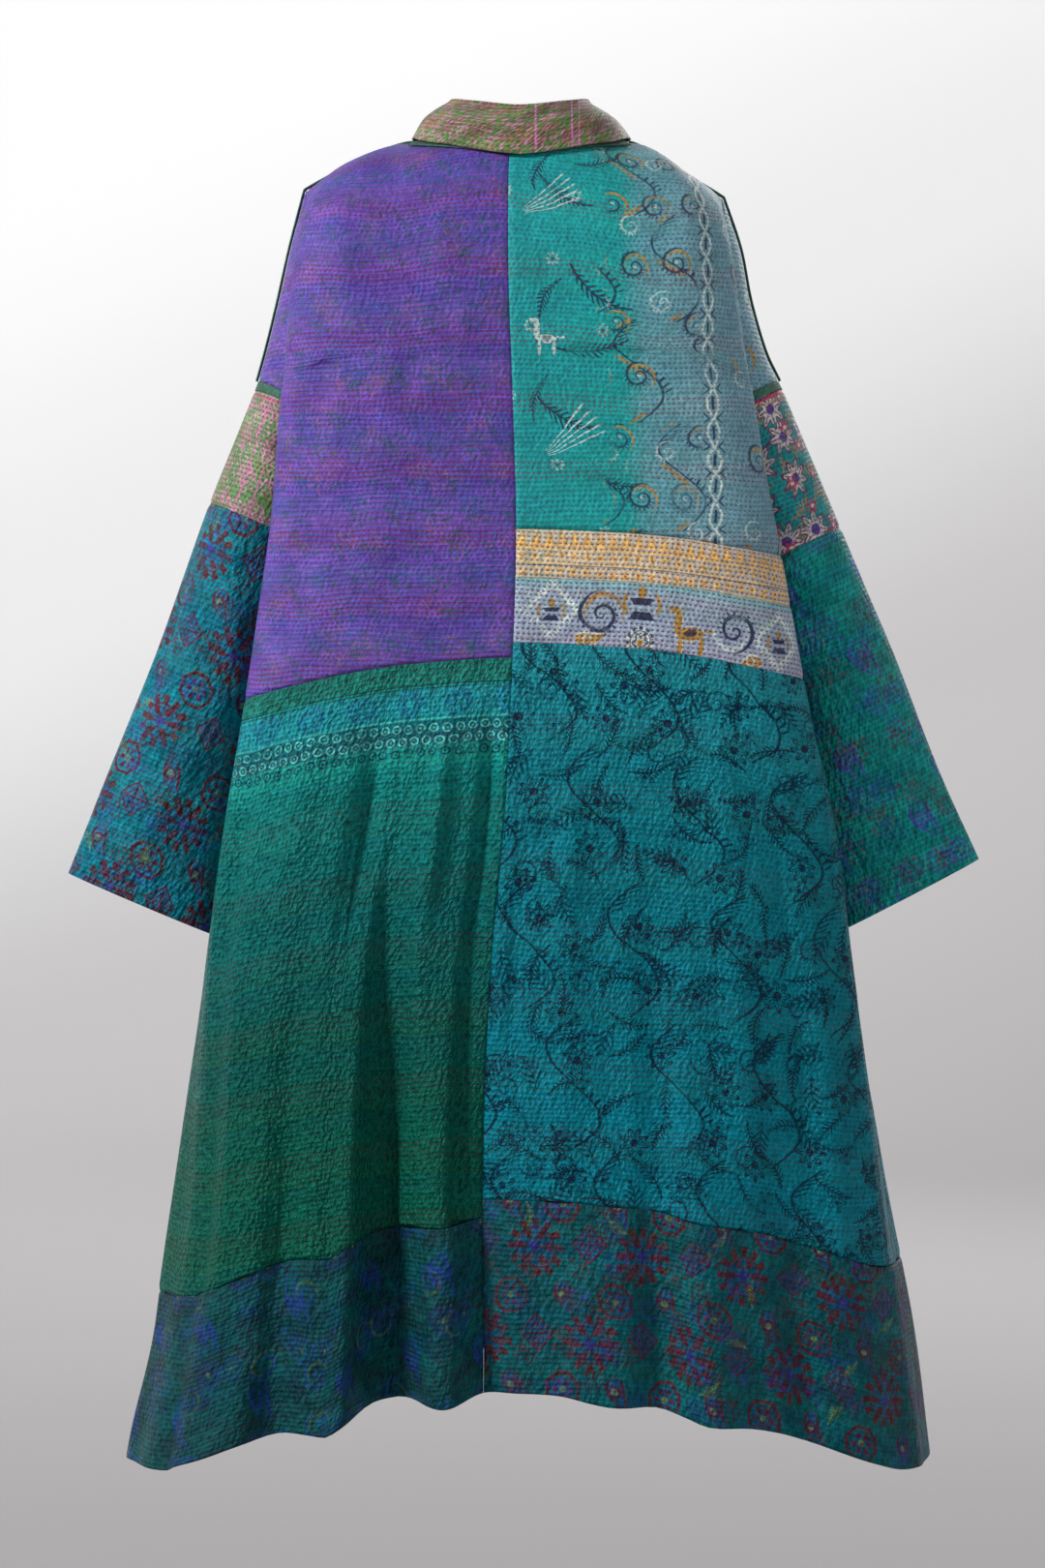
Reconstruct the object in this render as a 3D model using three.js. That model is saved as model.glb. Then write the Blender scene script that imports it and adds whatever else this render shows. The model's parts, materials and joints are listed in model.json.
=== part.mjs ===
// A long patchwork kantha coat, filled out as it hangs on a wearer who isn't there.
// Its back faces -Y, its open front faces +Y, and +Z is up. Sizes are in millimetres.
// The origin lies midway between the two neck points, where the wearer's shoulders hold the coat.
// The cloth is one surface of columns, which run from the shoulder line or the neckline to the hem,
// and every panel is a thin wall on a stretch of that surface. The sleeves are walls on rings.
import * as THREE from 'three';

// Driving sizes
const CLOTH = 1.5; // two layers of old sari silk with their stitching
const TAPE = 0.8; // the plain tape on the neck seam
const SEAM = 0.4; // the gap between two pieces at a seam
const ARM_BACK = -52; // the armhole's depth, behind and before the shoulder line
const ARM_MIDDLE = 8;
const ARM_FRONT = 68;
const HEM_CENTRE = 1108; // the hem's fall below the neck point, at the centre and at the side seams
const HEM_SIDE = 1183;
const SHOULDER_ROUND = 0.084; // the share of a column's fall in which the shoulder rounds over
const ROUND_ROWS = 0.1273; // the share of a column's length that this rounding takes
const ARM_STEP = 0.6; // how far the dropped shoulder's edge stands off the armhole's
const TAPE_HALF = 3; // half the width of the tape along the shoulder seams
const OPEN_TOP = 6; // half the gap between the two fronts, at the neck and at the hem
const OPEN_HEM = 20;
const OVAL_FROM = 560; // the fall below which the section of the body rounds out into an oval

// The cloth's colours
const VIOLET = 0x5a3f96;
const TURQUOISE = 0x2f9c9a;
const GOLD = 0xcfa566;
const BLUE_GREY = 0x7b8fa8;
const GREEN = 0x1b7a66;
const TEAL = 0x11757f;
const HEM_TEAL = 0x10605f;
const SLEEVE_TEAL = 0x0f6c6a;
const OLIVE = 0x7c8a52;
const ROSE = 0x9a6670;
const BOTTLE_GREEN = 0x27473c;

// The body at each height: how deep its back and front are, and on each side how far out
// the fold of the back, the root of the armhole and the edge of the front lie.
// seam is where the centre back seam runs.
const BODY = [
  { down: 0, back: 104, front: 84, foldL: 190, rootL: 187, frontL: 150, foldR: 181, rootR: 177, frontR: 146, seam: -8 },
  { down: 45, back: 110, front: 90, foldL: 197, rootL: 193, frontL: 158, foldR: 187, rootR: 184, frontR: 152, seam: -10 },
  { down: 130, back: 120, front: 100, foldL: 203, rootL: 177, frontL: 164, foldR: 192, rootR: 171, frontR: 161, seam: -10 },
  { down: 245, back: 122, front: 108, foldL: 215, rootL: 158, frontL: 160, foldR: 210, rootR: 155, frontR: 158, seam: -6 },
  { down: 365, back: 124, front: 112, foldL: 225, rootL: 183, frontL: 184, foldR: 231, rootR: 187, frontR: 188, seam: -3 },
  { down: 515, back: 130, front: 116, foldL: 246, rootL: 216, frontL: 217, foldR: 258, rootR: 228, frontR: 229, seam: -8 },
  { down: 625, back: 137, front: 119, foldL: 264, rootL: 247, frontL: 247, foldR: 279, rootR: 255, frontR: 255, seam: -14 },
  { down: 717, back: 143, front: 123, foldL: 278, rootL: 270, frontL: 270, foldR: 293, rootR: 282, frontR: 282, seam: -23 },
  { down: 830, back: 153, front: 128, foldL: 290, rootL: 287, frontL: 286, foldR: 311, rootR: 307, frontR: 305, seam: -29 },
  { down: 950, back: 165, front: 135, foldL: 303, rootL: 302, frontL: 299, foldR: 328, rootR: 326, frontR: 322, seam: -31 },
  { down: 1070, back: 177, front: 143, foldL: 321, rootL: 321, frontL: 317, foldR: 347, rootR: 347, frontR: 342, seam: -30 },
  { down: 1185, back: 188, front: 150, foldL: 343, rootL: 343, frontL: 338, foldR: 361, rootR: 361, frontR: 356, seam: -31 },
];

// The top of each column on the left and the right: the neckline, the shoulder line and the tip.
// across is the column's share of the body's half width.
const COLUMNS = [
  { across: 0, left: [0, -78, -14], right: [0, -78, -14] },
  { across: 0.38, left: [56, -60, -7], right: [56, -60, -7] },
  { across: 0.72, left: [94, 0, 0], right: [97, 0, 0] },
  { across: 0.93, left: [135, 0, -12], right: [133, 0, -21] },
  { across: 1, left: [170, 0, -29.5], right: [163, 0, -37] },
  { across: 1, left: [194, 0, -43], right: [184, 0, -50] },
  { across: 1, left: [194, 0, -43], right: [184, 0, -50] },
  { across: 1, left: [194, 0, -43], right: [184, 0, -50] },
  { across: 0.93, left: [150, 0, -18.3], right: [145, 0, -27] },
  { across: 0.66, left: [94, 0, 0], right: [97, 0, 0] },
  { across: 0.33, left: [74, 52, -28], right: [76, 52, -28] },
  { across: 0, left: [OPEN_TOP, 88, -76], right: [OPEN_TOP, 88, -76] },
];
const BACK_FOLD = 4; // the columns at the fold of the back, the armhole's two edges and the side seam
const ARMHOLE_BACK = 5;
const SIDE = 6;
const ARMHOLE_FRONT = 7;
const CENTRE_FRONT = 11;

// The folds: where each one runs at the waist and at the hem, where it starts, its half width at the
// hem, how far it pushes the cloth out, how much lower it makes the hem, and how square it is.
const BACK_FOLDS = [
  { waist: -236, hem: -268, from: 640, width: 30, push: 9, drop: 0, square: 2 },
  { waist: -190, hem: -212, from: 520, width: 19, push: -11, drop: 0, square: 2 },
  { waist: -150, hem: -168, from: 560, width: 26, push: 17, drop: 13, square: 2 },
  { waist: -112, hem: -114, from: 470, width: 27, push: -36, drop: -2, square: 4 },
  { waist: -70, hem: -64, from: 640, width: 22, push: 13, drop: 9, square: 2 },
  { waist: -36, hem: -30, from: 480, width: 19, push: -14, drop: -1, square: 2 },
  { waist: 66, hem: 80, from: 760, width: 32, push: 13, drop: 6, square: 2 },
  { waist: 108, hem: 121, from: 820, width: 16, push: -11, drop: 0, square: 2 },
  { waist: 140, hem: 162, from: 640, width: 32, push: 15, drop: 9, square: 2 },
  { waist: 214, hem: 244, from: 700, width: 30, push: -9, drop: 0, square: 2 },
];
const FRONT_FOLDS = [
  { waist: -200, hem: -252, from: 640, width: 28, push: -14, drop: 0, square: 2 },
  { waist: -140, hem: -186, from: 560, width: 30, push: 16, drop: 8, square: 2 },
  { waist: -92, hem: -122, from: 500, width: 26, push: -20, drop: 0, square: 2 },
  { waist: -44, hem: -62, from: 600, width: 26, push: 14, drop: 6, square: 2 },
  { waist: 40, hem: 56, from: 580, width: 26, push: 13, drop: 6, square: 2 },
  { waist: 88, hem: 116, from: 520, width: 24, push: -18, drop: 0, square: 2 },
  { waist: 146, hem: 180, from: 600, width: 32, push: 17, drop: 8, square: 2 },
  { waist: 206, hem: 256, from: 660, width: 28, push: -13, drop: 0, square: 2 },
];

// The seams across the body: their fall below the neck point at the centre and at the sides.
const SEAMS = {
  goldTop: { centre: 356, side: 378 },
  goldBottom: { centre: 399, side: 422 },
  waistL: { centre: 469, side: 505 },
  waistR: { centre: 456, side: 487 },
  borderL: { centre: 958, side: 1032 },
  borderR: { centre: 942, side: 1006 },
};

// The rings of each arm, from the armhole down: the outer end's place, the ring's width, the slope
// of its line in degrees, and half its depth. The ring before the first is the armhole itself.
const ARMS = {
  L: {
    drop: [
      { x: 207, z: -90, width: 162.5, slope: 73.7, depth: 60 },
      { x: 219, z: -143, width: 118.8, slope: 62.1, depth: 61 },
      { x: 229, z: -184, width: 91.2, slope: 46.3, depth: 62 },
      { x: 237.5, z: -215, width: 78.3, slope: 28.2, depth: 62 },
    ],
    sleeve: [
      { x: 240.5, z: -223, width: 79.2, slope: 25.4, depth: 62 },
      { x: 260, z: -271, width: 90, slope: 23.5, depth: 60 },
      { x: 282, z: -325, width: 100, slope: 23, depth: 57 },
      { x: 306, z: -392, width: 109, slope: 23, depth: 52 },
      { x: 333, z: -467, width: 118, slope: 23, depth: 46 },
      { x: 376, z: -573, width: 131, slope: 23, depth: 34 },
      { x: 411, z: -661, width: 145, slope: 23, depth: 22 },
    ],
    bandEnd: 2,
  },
  R: {
    drop: [
      { x: 199.5, z: -94, width: 157.4, slope: 74.9, depth: 60 },
      { x: 209, z: -142, width: 116.4, slope: 65.6, depth: 61 },
      { x: 222, z: -187, width: 86, slope: 47.1, depth: 62 },
      { x: 235, z: -215, width: 78.3, slope: 28.2, depth: 62 },
    ],
    sleeve: [
      { x: 238.5, z: -222, width: 78.7, slope: 26.4, depth: 62 },
      { x: 264, z: -282, width: 91, slope: 26, depth: 60 },
      { x: 291.5, z: -347, width: 101, slope: 26, depth: 57 },
      { x: 316, z: -405, width: 110, slope: 26, depth: 52 },
      { x: 342.5, z: -467, width: 119, slope: 26.5, depth: 46 },
      { x: 380.5, z: -565, width: 133, slope: 27, depth: 34 },
      { x: 418, z: -648, width: 145, slope: 27.5, depth: 22 },
    ],
    bandEnd: 2,
  },
};
const ARM_FORWARD = 6; // how much further forward the cuff hangs than the armhole

// The collar on each side, from the centre back over the neck point to the centre front: the fold
// along its top, and the columns and rows of the body that its outer edge lies on.
const COLLAR_FOLD = [
  [0, -73, 25],
  [41, -58, 31],
  [60, -8, 39],
  [54, 46, 8],
  [13, 85, -50],
];
const COLLAR_EDGE_BACK = [
  { column: 0, row: 0.04 },
  { column: 0.9, row: 0.035 },
  { column: 1.6, row: 0.027 },
  { column: 2.1, row: 0 },
];
const COLLAR_EDGE_FRONT = [
  { column: 8.9, row: 0 },
  { column: 9.25, row: 0.045 },
  { column: 9.7, row: 0.07 },
  { column: 10.72, row: 0.05 },
];
const TAPE_LIFT = 2.2; // how far the neck tape's face stands off the body
const STAND_IN = 3; // how far the stand sits inside the front neckline and above it
const FOLD_RADIUS = 3.2; // the round of the collar's fold, and the angles of its points
const COLLAR_TURN = [150, 105, 60, 15];
const COLLAR_LIFT = 5; // how far the collar's edge stands off the body
const COLLAR_CROWN = 5; // how far the fall bows outwards between its fold and its edge

// Numbers of cells
const BACK_CELLS = 20;
const FRONT_CELLS = 13;
const ARM_CELLS = 24;

const mix = (a, b, t) => a + (b - a) * t;
const clamp = (x, low = 0, high = 1) => Math.min(high, Math.max(low, x));
const ease = (t) => clamp(t) ** 2 * (3 - 2 * clamp(t));
const vector = ([x, y, z]) => new THREE.Vector3(x, y, z);

// A cubic between two values with given slopes.
function hermite(from, slopeFrom, to, slopeTo, t) {
  const t2 = t * t;
  const t3 = t2 * t;
  return (2 * t3 - 3 * t2 + 1) * from + (t3 - 2 * t2 + t) * slopeFrom + (3 * t2 - 2 * t3) * to + (t3 - t2) * slopeTo;
}

// A slope between two steps that never lets the curve swing past its points.
function calmSlope(before, after) {
  if (before * after <= 0) return 0;
  const most = 3 * Math.min(Math.abs(before), Math.abs(after));
  return clamp((before + after) / 2, -most, most);
}

// The value between the middle two of four.
const cubic = (p0, p1, p2, p3, t) => hermite(p1, calmSlope(p1 - p0, p2 - p1), p2, calmSlope(p2 - p1, p3 - p2), t);

// The point at place s on a smooth curve through a list of points, which s counts.
function through(points, s) {
  const last = points.length - 1;
  const i = clamp(Math.floor(s), 0, last - 1);
  const [b, c] = [points[i], points[i + 1]];
  const beyond = (end, next) => end.clone().multiplyScalar(2).sub(next);
  const a = points[i - 1] ?? beyond(b, c);
  const d = points[i + 2] ?? beyond(c, b);
  const t = s - i;
  return new THREE.Vector3(cubic(a.x, b.x, c.x, d.x, t), cubic(a.y, b.y, c.y, d.y, t), cubic(a.z, b.z, c.z, d.z, t));
}

// A smooth value from a column of the body's table, at a height below the neck point.
function body(name, down) {
  const last = BODY.length - 1;
  let i = 0;
  while (i < last - 1 && BODY[i + 1].down < down) i += 1;
  const slope = (k) => {
    const low = BODY[clamp(k - 1, 0, last)];
    const high = BODY[clamp(k + 1, 0, last)];
    return (high[name] - low[name]) / (high.down - low.down);
  };
  const [a, b] = [BODY[i], BODY[i + 1]];
  const span = b.down - a.down;
  return hermite(a[name], slope(i) * span, b[name], slope(i + 1) * span, (down - a.down) / span);
}

// How far down a column a row lies, and how far the shoulder has rounded over there.
function rowFall(row) {
  if (row >= ROUND_ROWS) {
    return { fall: SHOULDER_ROUND + ((1 - SHOULDER_ROUND) * (row - ROUND_ROWS)) / (1 - ROUND_ROWS), round: 1 };
  }
  const turn = (Math.max(row, 0) / ROUND_ROWS) * (Math.PI / 2);
  return { fall: SHOULDER_ROUND * (1 - Math.cos(turn)), round: Math.sin(turn) };
}

// The row at which a column reaches a height.
function rowAt(column, down) {
  const top = -columnTop(column).z;
  const fall = (down - top) / (hemFall(column) - top);
  return ROUND_ROWS + ((fall - SHOULDER_ROUND) * (1 - ROUND_ROWS)) / (1 - SHOULDER_ROUND);
}

// A column's share of the half width, for any place between the columns.
function reach(column) {
  const place = Math.abs(column);
  const i = clamp(Math.floor(place), 0, CENTRE_FRONT - 1);
  return mix(COLUMNS[i].across, COLUMNS[i + 1].across, place - i);
}

const hemFall = (column) => mix(HEM_CENTRE, HEM_SIDE, reach(column) ** 2);

function columnTop(column) {
  const tops = [];
  for (let k = -CENTRE_FRONT; k <= CENTRE_FRONT; k += 1) {
    const [x, y, z] = COLUMNS[Math.abs(k)][k < 0 ? 'left' : 'right'];
    tops.push(new THREE.Vector3(Math.sign(k) * x, y, z));
  }
  return through(tops, column + CENTRE_FRONT);
}

// The body's section at one column and height, before its folds.
function sectionAt(k, down) {
  const side = k < 0 ? 'L' : 'R';
  const place = Math.abs(k);
  const fold = body(`fold${side}`, down);
  const root = body(`root${side}`, down);
  const front = body(`front${side}`, down);
  const back = body('back', down);
  const chest = body('front', down);
  const open = mix(OPEN_TOP, OPEN_HEM, clamp(down / HEM_CENTRE));
  const oval = ease((down - OVAL_FROM) / (HEM_CENTRE - OVAL_FROM));
  const points = [
    [0, -back],
    [mix(0.38, 0.36, oval) * fold, -0.99 * back],
    [mix(0.72, 0.66, oval) * fold, -0.93 * back],
    [mix(0.93, 0.86, oval) * fold, -0.8 * back],
    [mix(1, 0.955, oval) * fold, -0.6 * back],
    [mix(1, 1.012, oval) * root, ARM_BACK],
    [mix(1, 1.03, oval) * root, ARM_MIDDLE],
    [root, ARM_FRONT],
    [mix(0.93, 0.88, oval) * front, mix(0.86, 0.84, oval) * chest],
    [0.66 * front, 0.96 * chest],
    [0.33 * front, chest],
    [open, chest],
  ];
  return points[place];
}

function columnPoint(k, row) {
  const { fall, round } = rowFall(row);
  const [topX, topY, topZ] = COLUMNS[Math.abs(k)][k < 0 ? 'left' : 'right'];
  const z = mix(topZ, -hemFall(k), fall);
  const [x, y] = sectionAt(k, -z);
  return new THREE.Vector3(Math.sign(k) * mix(topX, x, round), mix(topY, y, round), z);
}

// How far the folds push the cloth out and lower it at a point.
function foldAt(folds, x, down) {
  let push = 0;
  let drop = 0;
  for (const fold of folds) {
    const grown = ease((down - fold.from) / (HEM_CENTRE - fold.from));
    const middle = mix(fold.waist, fold.hem, clamp((down - 470) / (HEM_CENTRE - 470)));
    const shape = Math.exp(-(Math.abs((x - middle) / (fold.width * mix(0.6, 1, grown))) ** fold.square));
    push += fold.push * grown * shape;
    drop += fold.drop * grown ** 3 * shape;
  }
  return { push, drop };
}

// A point of the coat's outer surface. Columns run from -11, at the left front's edge, over 0, at the
// centre back, to 11. Rows run from 0, at the top, to 1, at the hem.
function coat(column, row) {
  const columns = [];
  const i = clamp(Math.floor(column), -CENTRE_FRONT, CENTRE_FRONT - 1);
  const first = Math.max(i - 1, -CENTRE_FRONT);
  for (let k = first; k <= Math.min(i + 2, CENTRE_FRONT); k += 1) columns.push(columnPoint(k, row));
  const point = through(columns, column - first);
  const place = Math.abs(column);
  const onBack = ease((BACK_FOLD + 0.2 - place) / 0.8);
  const onFront = ease((place - ARMHOLE_FRONT - 0.4) / 0.8);
  const back = foldAt(BACK_FOLDS, point.x, -point.z);
  const front = foldAt(FRONT_FOLDS, point.x, -point.z);
  point.y += onFront * front.push - onBack * back.push;
  point.z -= onFront * front.drop + onBack * back.drop;
  return point;
}

// A point that stands off the outer surface.
function onBody(column, row, lift) {
  const step = 1e-3;
  const right = coat(column + step, row).sub(coat(column - step, row));
  const down = coat(column, row + step).sub(coat(column, Math.max(row - step, 0)));
  return coat(column, row).addScaledVector(down.cross(right).normalize(), lift);
}

// The armhole's edge, from the shoulder's tip at 0 to the underarm at 1, behind or before the arm.
const underarmRow = (side) => rowAt(side * SIDE, side < 0 ? 245 : 246);
const armholeRow = (side, t) => underarmRow(side) * Math.sin((clamp(t) * Math.PI) / 2);
const armholeTurn = (t) => 1 - Math.cos((Math.PI / 2) * clamp((t - 0.5) / 0.5));

function armhole(side, t, behind) {
  const column = behind ? ARMHOLE_BACK + armholeTurn(t) : ARMHOLE_FRONT - armholeTurn(t);
  return onBody(side * column, armholeRow(side, t), ARM_STEP);
}

// The column of a panel's edge at the side: the armhole above the underarm, the side seam below it.
function sideColumn(side, row, behind) {
  const t = (2 / Math.PI) * Math.asin(clamp(row / underarmRow(side)));
  return side * (behind ? ARMHOLE_BACK + armholeTurn(t) : ARMHOLE_FRONT - armholeTurn(t));
}

// The column of the centre back seam.
function backSeamColumn(row) {
  const x = body('seam', -columnPoint(0, row).z);
  return x / Math.abs(columnPoint(-1, row).x);
}

// The first row of a panel at a column: where it leaves room for the tape on the shoulder seam.
function topRow(column) {
  const top = columnTop(column);
  const full = coat(column, ROUND_ROWS);
  const room = clamp((TAPE_HALF + 2 * SEAM - Math.abs(top.y)) / Math.abs(full.y - top.y));
  return (ROUND_ROWS * Math.asin(room)) / (Math.PI / 2);
}

const seamRow = (name, column) => rowAt(column, mix(SEAMS[name].centre, SEAMS[name].side, reach(column) ** 2));

// A thin closed wall on an outer surface, which point gives for shares of its width and height. The
// outer side is the one that down times across points to. A round wall closes on itself.
function wall(point, across, rows, thickness = CLOTH, round = false) {
  const places = across.length;
  const outer = [];
  const inner = [];
  const step = 1e-3;
  for (const b of rows) {
    for (const a of across) {
      const right = point(a + step, b).sub(point(a - step, b));
      const down = point(a, b + step).sub(point(a, b - step));
      const normal = down.cross(right).normalize();
      outer.push(point(a, b));
      inner.push(point(a, b).addScaledVector(normal, -thickness));
    }
  }
  const at = (i, j) => j * places + (i % places);
  const lastRow = rows.length - 1;
  const shiftEdges = (grid) => {
    const toward = (from, to) => grid[to].clone().sub(grid[from]).setLength(SEAM / 2);
    const moves = grid.map(() => new THREE.Vector3());
    for (let i = 0; i < places; i += 1) {
      moves[at(i, 0)].add(toward(at(i, 0), at(i, 1)));
      moves[at(i, lastRow)].add(toward(at(i, lastRow), at(i, lastRow - 1)));
    }
    for (let j = 0; !round && j <= lastRow; j += 1) {
      moves[at(0, j)].add(toward(at(0, j), at(1, j)));
      moves[at(places - 1, j)].add(toward(at(places - 1, j), at(places - 2, j)));
    }
    grid.forEach((p, k) => p.add(moves[k]));
  };
  shiftEdges(outer);
  shiftEdges(inner);
  const count = outer.length;
  const faces = [];
  const quad = (a, b, c, d) => faces.push(a, b, c, a, c, d);
  const cells = round ? places : places - 1;
  for (let j = 0; j < lastRow; j += 1) {
    for (let i = 0; i < cells; i += 1) {
      const [a, b, c, d] = [at(i, j), at(i, j + 1), at(i + 1, j + 1), at(i + 1, j)];
      quad(a, b, c, d);
      quad(count + d, count + c, count + b, count + a);
    }
  }
  for (let i = 0; i < cells; i += 1) {
    quad(at(i, 0), at(i + 1, 0), count + at(i + 1, 0), count + at(i, 0));
    quad(at(i + 1, lastRow), at(i, lastRow), count + at(i, lastRow), count + at(i + 1, lastRow));
  }
  for (let j = 0; !round && j < lastRow; j += 1) {
    quad(at(0, j + 1), at(0, j), count + at(0, j), count + at(0, j + 1));
    quad(at(places - 1, j), at(places - 1, j + 1), count + at(places - 1, j + 1), count + at(places - 1, j));
  }
  const geometry = new THREE.BufferGeometry();
  geometry.setAttribute('position', new THREE.Float32BufferAttribute([...outer, ...inner].flatMap((p) => p.toArray()), 3));
  geometry.setIndex(faces);
  geometry.computeVertexNormals();
  return geometry;
}

const evenly = (cells) => Array.from({ length: cells + 1 }, (_, i) => i / cells);

// Shares between two columns that lie evenly along the cloth, measured in one row.
function evenColumns(from, to, row, cells) {
  const fine = evenly(200).map((a) => coat(mix(from, to, a), row));
  const length = [0];
  for (let i = 1; i < fine.length; i += 1) length.push(length[i - 1] + fine[i].distanceTo(fine[i - 1]));
  const total = length[length.length - 1];
  return evenly(cells).map((share) => {
    const k = clamp(length.findIndex((l) => l >= share * total - 1e-9), 1, 200);
    return (k - 1 + (share * total - length[k - 1]) / (length[k] - length[k - 1])) / 200;
  });
}

const coatGroup = new THREE.Group();

function add(name, geometry, colour, roughness = 0.55) {
  const material = new THREE.MeshStandardMaterial({ color: colour, roughness, metalness: 0 });
  const mesh = new THREE.Mesh(geometry, material);
  mesh.name = name;
  coatGroup.add(mesh);
}

const LOW_ROW = 0.75; // the row in which the columns are spaced evenly
const BACK_SHARES = {
  L: evenColumns(-SIDE, backSeamColumn(LOW_ROW), LOW_ROW, BACK_CELLS),
  R: evenColumns(backSeamColumn(LOW_ROW), SIDE, LOW_ROW, BACK_CELLS),
};
const FRONT_SHARES = {
  L: evenColumns(-CENTRE_FRONT, -SIDE, LOW_ROW, FRONT_CELLS),
  R: evenColumns(SIDE, CENTRE_FRONT, LOW_ROW, FRONT_CELLS),
};

// A panel of the back or the front between two seams. top and bottom give a row for a column.
// A panel with an armhole has a row at the underarm, at the share that underarm gives.
function bodyPanel(side, behind, top, bottom, cells, underarmCells = 0) {
  const sign = side === 'L' ? -1 : 1;
  const underarm = underarmCells / cells;
  const outside = (row) => sideColumn(sign, row, behind);
  const inside = (row) => (behind ? backSeamColumn(row) : sign * CENTRE_FRONT);
  const leftFirst = (sign < 0) === behind;
  const columnIn = (a, row) => (leftFirst ? mix(outside(row), inside(row), a) : mix(inside(row), outside(row), a));
  const edgeRow = (rowOf, a) => {
    let row = 0.5;
    for (let i = 0; i < 5; i += 1) row = rowOf(columnIn(a, row));
    return row;
  };
  const point = (a, b) => {
    const [first, last, under] = [edgeRow(top, a), edgeRow(bottom, a), underarmRow(sign)];
    let row = mix(first, last, b);
    if (underarm && b < underarm) row = mix(first, under, Math.sin(((b / underarm) * Math.PI) / 2));
    else if (underarm) row = mix(under, last, (b - underarm) / (1 - underarm));
    return coat(columnIn(a, row), row);
  };
  const shares = (behind ? BACK_SHARES : FRONT_SHARES)[side];
  return wall(point, shares, evenly(cells));
}

const toHem = () => 1;
const seamOf = (name) => (column) => seamRow(name, column);

function addBody() {
  add('back_upper_left', bodyPanel('L', true, topRow, seamOf('waistL'), 15, 10), VIOLET);
  add('back_lower_left', bodyPanel('L', true, seamOf('waistL'), seamOf('borderL'), 8), GREEN);
  add('back_hem_left', bodyPanel('L', true, seamOf('borderL'), toHem, 3), HEM_TEAL);
  add('back_upper_right', bodyPanel('R', true, topRow, seamOf('goldTop'), 13, 10), TURQUOISE);
  add('back_gold_band', bodyPanel('R', true, seamOf('goldTop'), seamOf('goldBottom'), 1), GOLD, 0.4);
  add('back_figured_band', bodyPanel('R', true, seamOf('goldBottom'), seamOf('waistR'), 1), BLUE_GREY);
  add('back_lower_right', bodyPanel('R', true, seamOf('waistR'), seamOf('borderR'), 8), TEAL);
  add('back_hem_right', bodyPanel('R', true, seamOf('borderR'), toHem, 3), HEM_TEAL);
  for (const [side, name, upper, lower] of [
    ['L', 'left', VIOLET, GREEN],
    ['R', 'right', TURQUOISE, TEAL],
  ]) {
    const [waist, border] = [seamOf(`waist${side}`), seamOf(`border${side}`)];
    add(`front_upper_${name}`, bodyPanel(side, false, topRow, waist, 14, 10), upper);
    add(`front_lower_${name}`, bodyPanel(side, false, waist, border, 7), lower);
    add(`front_hem_${name}`, bodyPanel(side, false, border, toHem, 3), HEM_TEAL);
  }
}

// A point of an arm ring. turn is 0 at the ring's outer end, runs behind the arm, is 0.5 at its
// inner end and comes back before the arm.
function ringPoint(side, ring, turn, forward) {
  const slope = (ring.slope * Math.PI) / 180;
  const half = ring.width / 2;
  const along = half - half * Math.cos(2 * Math.PI * turn);
  const x = ring.x - along * Math.cos(slope);
  const z = ring.z - along * Math.sin(slope);
  return new THREE.Vector3(side * x, ARM_MIDDLE + forward - ring.depth * Math.sin(2 * Math.PI * turn), z);
}

// The dropped shoulder, from the armhole to the tape on the arm.
function dropPoint(side, turn, s, behind) {
  const { drop } = ARMS[side < 0 ? 'L' : 'R'];
  const rings = [armhole(side, turn, behind)];
  for (const ring of drop) rings.push(ringPoint(side, ring, behind ? turn / 2 : 1 - turn / 2, 0));
  return through(rings, s * drop.length);
}

// The share of the drop's half ring that the shoulder tape takes.
function dropTop(side, s, behind) {
  let [low, high] = [0, 0.3];
  const middle = shoulderLine(side, 1 + s).y;
  for (let i = 0; i < 30; i += 1) {
    const turn = (low + high) / 2;
    if (Math.abs(dropPoint(side, turn, s, behind).y - middle) < TAPE_HALF + 2 * SEAM) low = turn;
    else high = turn;
  }
  return low;
}

// The line of the shoulder seam: from the neck point at 0 over the tip at 1 to the arm's tape at 2.
function shoulderLine(side, s) {
  if (s <= 1) return columnTop(side * mix(2.04, ARMHOLE_BACK, s));
  const { drop } = ARMS[side < 0 ? 'L' : 'R'];
  const points = [columnTop(side * ARMHOLE_BACK)];
  for (const ring of drop) points.push(ringPoint(side, ring, 0, 0));
  return through(points, (s - 1) * drop.length);
}

function addShoulder(side, name, colour) {
  for (const behind of [true, false]) {
    const flip = behind === side < 0;
    const tops = evenly(20).map((s) => dropTop(side, s, behind));
    const point = (a, s) => {
      const k = clamp(s * 20, 0, 20);
      const i = Math.min(Math.floor(k), 19);
      const top = mix(tops[i], tops[i + 1], k - i);
      return dropPoint(side, mix(top, 1, clamp(flip ? a : 1 - a)), s, behind);
    };
    add(`drop_${behind ? 'back' : 'front'}_${name}`, wall(point, evenly(10), evenly(6)), colour);
  }
  const tape = (a, s) => {
    const along = shoulderLine(side, 2 * s);
    const across = (side < 0 ? 2 * a - 1 : 1 - 2 * a) * (TAPE_HALF + SEAM / 2);
    return along.add(new THREE.Vector3(0, across, 0));
  };
  add(`shoulder_tape_${name}`, wall(tape, [0, 1], evenly(14)), BOTTLE_GREEN, 0.8);
}

// Each sleeve below the dropped shoulder: the tape, the band of other cloth and the long piece.
function sleevePoint(side, turn, s) {
  const { sleeve } = ARMS[side < 0 ? 'L' : 'R'];
  const last = sleeve.length - 1;
  const rings = sleeve.map((ring, k) => ringPoint(side, ring, turn, (ARM_FORWARD * k) / last));
  return through(rings, s);
}

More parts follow.
